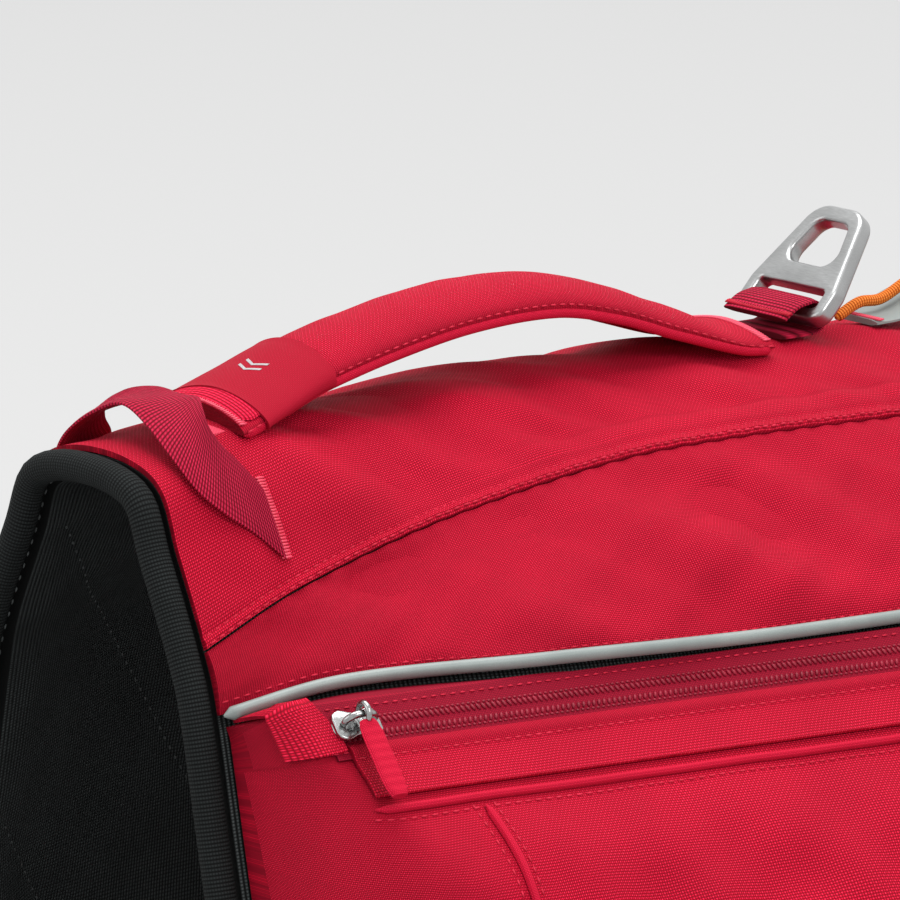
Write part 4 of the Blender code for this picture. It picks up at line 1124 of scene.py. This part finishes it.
def make_pull(name, place, rest):
    """A wire ring through the bail and a grip of doubled red webbing with a moulded tip."""
    body = name + "_left"
    hinge = place(rest, ZIP_FACE + CROWN_RISE)
    side = hinge.to_3x3() @ Vector((1, 0, 0))
    centre = hinge.translation

    def place_ring(a, b, _):
        turn = 2 * math.pi * (round(a * 36) % 36) / 36
        spot = hinge @ Vector((0, 0.0026 * math.cos(turn), 0.0026 * math.sin(turn)))
        out = (spot - centre).normalized()
        angle = 2 * math.pi * b
        return spot + out * 0.0008 * math.cos(angle) + side * 0.0008 * math.sin(angle)

    def place_grip(a, b, c):
        along = -0.0022 - 0.0224 * a
        wide = 0.0032 * (1 - 0.35 * abs(2 * a - 1) ** 6)
        thick = 0.0010 + 0.00025 * math.sin(a * 9 * math.pi) ** 2
        x = 2 * b - 1
        return hinge @ Vector((x * wide, along, (2 * c - 1) * thick * (1 - abs(x) ** 4) ** 0.5))

    size = (0.016, 0.005)
    ring = name + "_ring_left"
    other_side(wrapped(ring, place_ring, 36, 10, NICKEL, False, size, node=body, body=body))
    other_side(cloth(name + "_grip_left", place_grip, 44, 12, FINE_NYLON, body=body))


def make_zip(prefix, place, front, rear, rest):
    name = prefix + "_zip"

    def place_tape(a, b, c):
        return place(mix(front, rear, a), 0.0003 + 0.0005 * c) @ Vector((0, 0.0083 * (2 * b - 1), 0))

    other_side(cloth(name + "_tape_left", place_tape, 120, 6, TAPE, node=name + "_left"))
    other_side(make_coil(name + "_coil_left", place, front + 0.001, rear - 0.001))
    for tag, side in (("a", -1), ("b", 1)):
        edge = Vector((0, side * 0.0064, 0))
        line = [place(mix(front, rear, share), 0.0010) @ edge for share in shares(60)]
        row = f"{name}_stitches_{tag}_left"
        other_side(stitches(row, line, bag_out, THREAD_RED, ZIP_SEWING, slot="wine_tape"))
    # A tack closes the zip's rear end.
    end = [place(rear - 0.001, 0.0013) @ Vector((0, 0.005 * (2 * share - 1), 0)) for share in shares(10)]
    other_side(tack(name + "_tack_left", end, bag_out, ZIP_TACK, THREAD_RED, slot="wine_tape"))
    make_slider(prefix + "_slider", place, rest)
    make_pull(prefix + "_pull", place, rest)


def make_zips():
    make_zip("main", band_frame, ZIP_FRONT, ZIP_REAR, SLIDER_REST)
    front, rear = pocket_spot(0, 0)[0] + POCKET_ZIP_MARGIN, pocket_spot(1, 0)[0] - POCKET_ZIP_MARGIN
    make_zip("pocket", pocket_frame, front, rear, front + SLIDER_LENGTH / 2 + 0.001)

    # Dark facing between the piping and the zip, and the red lip below the coil.
    def place_facing(a, b, c):
        return bag_surface(mix(ZIP_FRONT, ZIP_REAR, a), 0.12 + 0.93 * b, 0.0002 + 0.0006 * c)

    other_side(cloth("zip_facing_left", place_facing, 140, 10, TAPE))

    def place_lip(a, b, c):
        roll = math.sin(math.pi * min(b * 2.2, 1)) if b < 0.45 else 0.0
        lift = 0.0007 + c * (0.0009 + 0.0008 * roll)
        return slack_surface(mix(0.013, SADDLE_LENGTH - 0.013, a), 1.78 + 0.55 * b, lift)

    other_side(cloth("zip_lip_left", place_lip, 150, 16, NYLON))
    sewn = [bag_surface(mix(0.015, 0.305, share), 2.02, 0.0018) for share in shares(100)]
    other_side(stitches("zip_lip_stitches_left", sewn, bag_out))

    # The red garage covers the band's front end from the piping down, and its edge curves round the slider.
    def place_garage(a, b, c):
        rear = ZIP_FRONT + 0.0022 - 0.0028 * hump(b, 0.5, 0.2)
        roll = 0.0008 * hump(a, 1, 0.16)
        puff = 0.0006 * math.sin(math.pi * a) * math.sin(math.pi * b)
        return bag_surface(mix(0.0026, rear, a), 0.10 + 1.78 * b, 0.0006 + (0.0010 + roll + puff) * c)

    size = (0.0105, 0.022)
    other_side(cloth("garage_cloth_left", place_garage, 20, 40, NYLON, size, node="zip_garage_left"))


# ---------------------------------------------------------------- handle


@cache
def fall(y, out):
    """How far the saddle's face at a distance from the middle is below the ridge."""
    return lining_at(y, 0)[1] - lining_at(y, search(0, SEAM, lambda s: lining_at(y, s)[0] < out))[1]


def handle_ring(share, degrees, inset=0.0):
    """A point of the handle's round section, inset from its outer face; 90 degrees is on top."""
    angle = math.radians(degrees)
    y = mix(HANDLE_FRONT, HANDLE_REAR, share)
    top = hermite(HANDLE_STATIONS, HANDLE_TOP, share)
    thick = hermite(HANDLE_STATIONS, HANDLE_THICK, share)
    seated = 1 - ease(min(share, 1 - share) / HANDLE_SEAT)
    half_wide = HANDLE_WIDTH / 2 * (1 + HANDLE_FLARE * seated)
    x = (half_wide - inset) * math.cos(angle)
    sine = math.sin(angle)
    rise = (thick / 2 - inset) * math.copysign(abs(sine) ** 0.8, sine)
    edge = (x / half_wide) ** 2
    droop = HANDLE_DROOP * edge * (1 - seated) + (fall(y, abs(x)) - HANDLE_EDGE_GAP * edge) * seated
    return Vector((x, y, ridge(y, top - thick / 2 - droop + rise)))


def handle_out(point):
    return Vector((point.x, 0, 0.012))


def make_handle():
    def place(a, b, _):
        # The padding is drawn in where the seams hold it, and creased where the grip bends.
        side = abs(math.cos(2 * math.pi * b)) ** 8
        crease = 0.00035 * folds(a * 0.18, b * 0.09, 0.010, 1.4, 2.7)
        return handle_ring(a, 360 * b, 0.0006 * side - crease * (1 - side))

    size = (0.185, 0.078)
    cover = wrapped("handle_cloth", place, 150, 56, NYLON, size=size, node="handle_cover")

    for tag, low, high in (("left", -24, 6), ("right", 204, 174)):
        line = [handle_ring(mix(0.003, 0.997, i), low, -0.0002) for i in shares(120)]
        round_cord("handle_piping_" + tag, line, 0.0014, 10, FINE_NYLON)
        line = [handle_ring(mix(0.01, 0.99, i), high) for i in shares(120)]
        stitches("handle_stitches_" + tag, line, handle_out, kind=GRIP_SEWING)

    # Foam shows as a plain core where the cover's ends are sewn flat.
    def place_foam(a, b, _):
        return handle_ring(0.05 + 0.9 * a, 360 * b, 0.0021)

    core = wrapped("handle_core", place_foam, 40, 24, MESH, node="handle_foam", slot="foam")

    # The darker patch is wrapped round the front of the grip, its edges turned under.
    def place_patch(a, b, c):
        skew = 0.012 * (2 * b - 1)
        share = 0.030 + 0.145 * a - skew * (1 - a)
        hem = 0.0003 * hump(min(a, 1 - a), 0, 0.04)
        return handle_ring(share, -38 + 256 * b, -0.0004 - (0.0008 + hem) * c)

    patch = cloth("handle_patch_cloth", place_patch, 30, 44, COATED, node="handle_patch")

    # A generic mark: two stacked chevrons.
    for number, start in enumerate((0.086, 0.100)):
        for tag, way in (("a", 1), ("b", -1)):

            def place_mark(a, b, c, start=start, way=way):
                share = start + 0.010 * a + 0.0045 * b
                return handle_ring(share, 90 - way * 13 * a, -0.00125 - 0.00008 * c)

            cloth(f"mark_{number}_{tag}", place_mark, 6, 2, PRINT)

    # Ribbed knit over the front end, with a rounded tongue, and under its edge a pale pink tape whose
    # colour is a painted highlight on the handle's seat.
    def place_knit(a, b, c):
        x = 2 * b - 1
        half = 62 * (1 - 0.16 * ease(1 - a * 3))
        edge = (1 - abs(x) ** 8) ** 0.5 * (1 - (1 - a) ** 12) ** 0.5
        return handle_ring(0.004 + 0.060 * a, 90 - half * x, -0.0002 - 0.0009 * c * (0.2 + 0.8 * edge))

    cloth("handle_rib_knit", place_knit, 24, 30, RIB_KNIT, size=(0.0135, 0.030))

    # Painted highlight on the handle's seat, drawn as a pale pink tape.
    def place_seat_highlight(a, b, c):
        y = HANDLE_FRONT - 0.0062 + 0.0066 * a
        x = 0.0135 * (2 * b - 1)
        return Vector((x, y, ridge(y, 0.0006 - 0.10 * x * x / 0.0135 + 0.0007 * c)))

    cloth("handle_rose_tape", place_seat_highlight, 6, 20, ROSE_PAINTED_HIGHLIGHT)

    for end, share in (("front", 0.006), ("rear", 0.992)):
        line = [handle_ring(share, mix(150, 30, i), -0.0003) for i in shares(30)]
        tack(f"handle_tack_{end}", line, handle_out, HANDLE_TACK)


# ---------------------------------------------------------------- loops and ring on the spine


def make_front_loop():
    seat = saddle(0.027, 2.18, PANEL_TOP + 0.0014)
    half = (
        (seat, (0.50, 0, -0.86)),
        ((0.0317, 0.0220, RIM_HEIGHT - 0.0085), (0.50, -0.12, -0.85)),
        ((0.0292, 0.0165, RIM_HEIGHT - 0.0035), (0.50, -0.30, -0.80)),
        ((0.0255, 0.0130, RIM_HEIGHT + 0.0015), (0.46, -0.52, -0.72)),
        ((0.0190, 0.0130, RIM_HEIGHT + 0.0070), (0.36, -0.76, -0.54)),
        ((0.0100, 0.0150, RIM_HEIGHT + 0.0110), (0.17, -0.96, -0.25)),
        ((0, 0.0160, RIM_HEIGHT + 0.0125), (0, -1, 0)),
    )
    whole = [(Vector(p), Vector(w)) for p, w in half]
    mirror = Matrix.Scale(-1, 3, (1, 0, 0))
    whole += [(mirror @ p, mirror @ w) for p, w in whole[-2::-1]]
    points, wides = (smooth_route(line, 7) for line in zip(*whole))
    strap("front_loop_webbing", points, LOOP_WIDTH, wides, node="front_loop")
    # A satin bar holds each end.
    for tag, side in (("left", 1), ("right", -1)):
        line = []
        for share in shares(20):
            along = 0.0105 * (2 * share - 1)
            y = seat.y + 0.0012
            height = PANEL_TOP + 0.0012
            point = saddle(y, station(y, reach(y, 2.1) + along), height)
            line.append(Vector((side * point.x, point.y, point.z)))
        tack(f"front_loop_tack_{tag}", line, outwards, FRONT_LOOP_TACK, slot="wine_webbing")


def make_ring():
    slot_wide, slot_high = 0.0265, 0.0058
    start = -RING_BAR / 2
    slot = start + RING_BAR
    shoulder = slot + slot_high
    eye = shoulder + 0.0066
    eye_top = eye + 0.0138
    top = eye_top + 0.0045
    half = RING_WIDTH / 2
    right = [(half, start), (half, shoulder), (0.0096, top)]
    outer = [(-half, start), *right, *((-x, y) for x, y in right[:0:-1])]
    slot_half = slot_wide / 2
    slot_box = ((-slot_half, slot), (slot_half, slot), (slot_half, shoulder), (-slot_half, shoulder))
    eye_box = ((-0.0104, eye), (0.0104, eye), (0.0062, eye_top), (-0.0062, eye_top))
    outlines = [rounded(outer, 0.0075, 12), rounded(slot_box, 0.0015, 6), rounded(eye_box, 0.0042, 10)]
    axis = Vector((0, RING_Y, ridge(RING_Y) + TOUCH + WEBBING / 2 + TAB_FOLD))
    up = Vector((0, math.sin(RING_LEAN), math.cos(RING_LEAN)))
    side = Vector((1, 0, 0))
    turn = Matrix((side, up, side.cross(up))).transposed().to_4x4()
    spot = Matrix.Translation(axis) @ turn
    plate("ring_plate", outlines, RING_THICKNESS, 0.0011, spot, ALUMINIUM, node="v_ring", body="v_ring")

    ground = axis.z - TAB_FOLD
    front, middle = RING_Y - 0.0095, RING_Y - 0.005
    route = [Vector((0, front, ground)), Vector((0, middle, ground))]
    for angle in (math.pi * (share - 0.5) for share in shares(24)):
        route.append(axis + TAB_FOLD * Vector((0, math.cos(angle), math.sin(angle))))
    ends = [route[-1], (0, middle, axis.z + 0.75 * TAB_FOLD), (0, front, ground + WEBBING + 0.0030)]
    route += smooth_route(ends, 5)[1:]
    strap("ring_tab_webbing", route, TAB_WIDTH, side, node="v_ring_tab")
    y, z = RING_Y - 0.0082, ground + 0.0062
    line = [Vector((TAB_WIDTH * (share - 0.5), y, z)) for share in shares(20)]
    normal = Vector((0, -0.3, 1))
    tack("ring_tab_tack", line, lambda _: normal, RING_TACK, THREAD_RED, slot="wine_webbing")


def make_rear_loop():
    start, end = SADDLE_LENGTH - 0.074, SADDLE_LENGTH - 0.012
    seat = TOUCH + WEBBING / 2 + 0.0002
    rise_to = 0.009
    bows = ((0, 0), (0.16, 0.1), (0.34, 0.55), (0.6, 1), (0.84, 0.5), (1, 0))

    def over_ridge(y, lift):
        return (0, y, ridge(y, lift))

    route = [over_ridge(mix(start, end, share), seat + rise_to * rise) for share, rise in bows]
    wide = (1, 0, 0)
    strap("rear_loop_tape", smooth_route(route, 10), STRAP_WIDTH, wide, REFLECTIVE, node="rear_loop")
    for tag, y in (("front", start + 0.0015), ("rear", end - 0.0015)):
        z = ridge(y, seat + WEBBING / 2 + 0.0002)
        line = [Vector((0.0095 * (2 * share - 1), y, z)) for share in shares(20)]
        tack(f"rear_loop_tack_{tag}", line, lambda _: Vector((0, 0, 1)), REAR_LOOP_TACK)

    radius = 0.0015
    over = seat + WEBBING / 2 + TOUCH + radius + 0.0008
    route = [over_ridge(start - 0.006, radius + TOUCH), over_ridge(start + 0.002, over + 0.0006)]
    for share, rise in bows[1:-1]:
        route.append(over_ridge(mix(start, end, share), over + (rise_to + 0.002) * rise))
    route.append(over_ridge(end + 0.006, radius + TOUCH))
    points = even_route(smooth_route(route, 12), 0.001)
    round_cord("rear_cord_braid", points, radius, 12, ORANGE, node="rear_cord")


# ---------------------------------------------------------------- straps, buckles and pads


def bar_fold(bar_x, towards):
    """Webbing folded round a buckle's bar, as (x, z) points from its lower run to its sewn tail."""
    half_x = BAR_LENGTH / 2 + TOUCH + WEBBING / 2
    half_z = BAR_THICKNESS / 2 + TOUCH + WEBBING / 2
    turn = 0.001
    points = [
        (half_x + 0.004, -half_z),
        (-half_x + turn, -half_z),
        (-half_x, -half_z + turn),
        (-half_x, half_z - turn),
        (-half_x + turn, half_z),
        (half_x, half_z),
        (half_x + TAIL, half_z),
    ]
    return [(bar_x + towards * x, z) for x, z in points]


def climb(y, direction):
    """Points of a strap from the floor up the lining's inner face, as (x, z)."""
    inner = STRAP_INSET
    narrow = y - STRAP_WIDTH / 2
    low, high = 0.031, 0.056
    out_low = lining_out(narrow, low) - inner
    out_high = lining_out(narrow, high) - inner
    floor = WEBBING / 2 + FLOOR_GAP
    run = [(out_high, high), (out_low, low), (out_low - 0.002, 0.012), (out_low - 0.010, floor)]
    return [(direction * x, z) for x, z in run]


def rounded_route(points, radius=0.0016, steps=4):
    """The same route with its corners turned into short curves."""
    points = [Vector(p) for p in points]
    route = [points[0]]
    for before, here, after in zip(points, points[1:], points[2:]):
        cut_in = min(radius, (here - before).length * 0.45)
        cut_out = min(radius, (after - here).length * 0.45)
        enter = here + (before - here).normalized() * cut_in
        leave = here + (after - here).normalized() * cut_out
        for i in range(steps + 1):
            t = i / steps
            route.append(enter * (1 - t) ** 2 + here * 2 * t * (1 - t) + leave * t * t)
    route.append(points[-1])
    return route


def make_girth(prefix, y):
    height = BUCKLE_HEIGHT / 2 + FLOOR_GAP
    fold = bar_fold(GIRTH_MOUTH + FEMALE_LENGTH - BAR_LENGTH / 2, 1)
    points = climb(y, 1) + [(x, z + height) for x, z in fold]
    route = rounded_route([(x, y, z) for x, z in points], 0.004)
    strap(prefix + "_tab_webbing", route, STRAP_WIDTH, (0, 1, 0), node=prefix + "_tab")

    fold = bar_fold(GIRTH_MOUTH - MALE_LENGTH + BAR_LENGTH / 2, -1)
    floor = WEBBING / 2 + FLOOR_GAP
    over = PAD_THICKNESS + 2 * TOUCH + WEBBING / 2 + 0.0006
    left, right = PAD_X
    points = climb(y, -1) + [
        (left - 0.007, floor), (left - 0.003, over - 0.002), (left, over),
        (right, over), (right + 0.003, over - 0.002), (right + 0.008, floor),
    ]
    points += [(x, z + height) for x, z in fold]
    route = rounded_route([(x, y, z) for x, z in points], 0.004)
    belt = strap_unridden(prefix + "_strap_webbing", route, (0, 1, 0), prefix + "_strap")
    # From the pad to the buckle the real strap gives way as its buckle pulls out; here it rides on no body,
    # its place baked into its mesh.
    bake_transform(belt)
    softened(prefix + "_buckle_female", "saddle")
    softened(prefix + "_buckle_male", prefix + "_buckle_male")


def strap_unridden(name, route, wide, node):
    """Webbing between two bodies, so it has no parent of its own."""
    belt = strap(name, route, STRAP_WIDTH, wide, node=node)
    belt.parent = None
    del belt["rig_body"]
    return belt


def soft_pad(name, place, node, flat_size):
    """A padded piece of spacer mesh, with a thin edge and three sewn channels."""
    cloth(name, place, 72, 40, MESH, flat_size, node=node)


def pad_swell(a, b):
    """Thickness of a pad at a spot, as a share: thin at its edge and in its channels."""
    rim = (1 - abs(2 * a - 1) ** 14) ** 0.5 * (1 - abs(2 * b - 1) ** 8) ** 0.5
    channel = 1.0
    for line in (0.25, 0.5, 0.75):
        channel -= 0.38 * hump(a, line, 0.018)
    return 0.30 + 0.70 * rim * channel


def make_belly():
    make_girth("front_girth", 0.085)
    make_girth("rear_girth", SADDLE_LENGTH - 0.105)
    left, right = PAD_X
    front, rear = 0.060, SADDLE_LENGTH - 0.080

    def place(a, b, c):
        swell = pad_swell(a, b)
        rise = 0.5 + 0.5 * swell if c else 0.12 * (1 - swell)
        return Vector((mix(left, right, b), mix(front, rear, a), TOUCH + PAD_THICKNESS * rise))

    soft_pad("belly_pad_cloth", place, "belly_pad", (rear - front, right - left))


def chest_run(direction):
    """The strap from the lining's inner face down to the floor ahead of it, as a route."""
    inner = STRAP_INSET
    upper = 0.062
    half = STRAP_WIDTH / 2
    out_rear = lining_out(0.020, upper + half) - inner
    out_front = lining_out(0.004, upper + half) - inner
    rest = BUCKLE_WIDTH / 2 + FLOOR_GAP
    points = (
        (out_rear, 0.022, upper), (out_front, 0.004, upper - 0.002), (out_front - 0.0005, -0.006, 0.050),
        (CHEST_X + 0.0003, -0.013, 0.034), (CHEST_X, -0.019, 0.020), (CHEST_X, -0.0235, rest),
    )
    return [(direction * x, y, z) for x, y, z in points]


def make_chest():
    rest = BUCKLE_WIDTH / 2 + FLOOR_GAP
    fold = bar_fold(CHEST_MOUTH + FEMALE_LENGTH - BAR_LENGTH / 2, 1)
    side = fold[0][1]
    route = [Vector(p) + Vector((side, 0, 0)) for p in chest_run(1)[:-1]]
    route.append(Vector((CHEST_X + side, fold[0][0], rest)))
    route += [(CHEST_X + z, y, rest) for y, z in fold[1:-1]]
    tail = fold[-1]
    route.append((CHEST_X + tail[1], tail[0] - 0.006, rest))
    route = rounded_route(route, 0.005)
    strap("chest_tab_webbing", route, STRAP_WIDTH, (0, 0, 1), node="chest_strap_left")

    fold = bar_fold(CHEST_MOUTH - MALE_LENGTH + BAR_LENGTH / 2, -1)
    floor = STRAP_WIDTH / 2 + FLOOR_GAP
    bend_points = [
        (CHEST_X - 0.004, CHEST_FRONT + 0.030, floor + 0.001),
        (CHEST_X - 0.011, CHEST_FRONT + 0.016, floor),
        (CHEST_X - 0.024, CHEST_FRONT + 0.006, floor),
        (CHEST_X - 0.042, CHEST_FRONT + 0.001, floor),
        (0, CHEST_FRONT, floor),
    ]
    arc = smooth_route(bend_points, 6)
    far = [Vector((-p.x, p.y, p.z)) for p in reversed(arc[:-1])]
    level = [Vector((-CHEST_X, CHEST_MOUTH - 0.018, floor + 0.001)), Vector((-CHEST_X, -0.036, rest))]
    route = [Vector((CHEST_X + z, y, rest)) for y, z in reversed(fold)]
    route += arc + far + level + [Vector(p) for p in reversed(chest_run(-1))]
    belt = strap_unridden("chest_belt_webbing", rounded_route(route, 0.005), (0, 0, 1), "chest_strap_right")
    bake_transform(belt)

    behind = (WEBBING + CHEST_PAD_THICKNESS) / 2 + TOUCH + 0.0008
    middle = 0.0125

    def place(a, b, c):
        x = CHEST_PAD_HALF * (1 - 2 * a)
        y = CHEST_FRONT + behind + 0.0028 * (x / CHEST_PAD_HALF) ** 4
        z = middle + 0.024 * (b - 0.5)
        return Vector((x, y + (c - 0.5) * CHEST_PAD_THICKNESS * pad_swell(a, b), z))

    soft_pad("chest_pad_cloth", place, "chest_pad", (2 * CHEST_PAD_HALF, 0.024))
    softened("chest_buckle_female", "saddle")
    softened("chest_buckle_male", "chest_buckle_male")


# ---------------------------------------------------------------- floor, light and camera


def make_studio():
    mat, shader = finish_material("pale_floor", 0.9, Specular_IOR_Level=0.0)
    shader.inputs["Base Color"].default_value = linear("B0B0B0")
    bm = bmesh.new()
    bmesh.ops.create_grid(bm, x_segments=1, y_segments=1, size=12)
    mesh = bpy.data.meshes.new("floor")
    bm.to_mesh(mesh)
    bm.free()
    mesh.materials.append(mat)
    floor = link(bpy.data.objects.new("floor", mesh))
    floor.location.z = CAD_BOX[0][2] - 0.0002

    world = bpy.data.worlds.new("studio")
    bpy.context.scene.world = world
    world.use_nodes = True
    backdrop = world.node_tree.nodes["Background"]
    backdrop.inputs["Color"].default_value = linear("F8F8F8")
    backdrop.inputs["Strength"].default_value = 1.06

    lamps = (
        # name, place, aim, size, watts
        ("overhead", (-0.7, 0.6, 4.2), (-0.7, 0.6, 0.0), 3.6, 180.0),
        ("side", (2.0, -0.2, 1.6), (0, 0, 0.25), 0.9, 20.0),
        ("front", (-0.6, -2.1, 1.2), (0, 0, 0.25), 1.4, 8.0),
    )
    for name, place, aim, size, watts in lamps:
        light = bpy.data.lights.new(name, "AREA")
        light.size = size
        light.energy = watts
        lamp = link(bpy.data.objects.new(name, light))
        lamp.location = place
        lamp.rotation_euler = (Vector(aim) - Vector(place)).to_track_quat("-Z", "Y").to_euler()

    lens = bpy.data.cameras.new("view")
    lens.lens = 480
    lens.clip_end = 50
    camera = link(bpy.data.objects.new("view", lens))
    azimuth, elevation = math.radians(51.7), math.radians(11.5)
    level = math.cos(elevation)
    back = Vector((math.sin(azimuth) * level, -math.cos(azimuth) * level, math.sin(elevation)))
    camera.location = Vector((0.0555, -0.0385, 0.2869)) + back * 3.0
    camera.rotation_euler = back.to_track_quat("Z", "Y").to_euler()
    bpy.context.scene.camera = camera
    bpy.context.scene.view_settings.view_transform = "Standard"


make_studio()
make_panels()
make_lining()
make_rims()
make_piping()
make_bags()
make_pockets()
make_zips()
make_handle()
make_front_loop()
make_ring()
make_rear_loop()
make_belly()
make_chest()
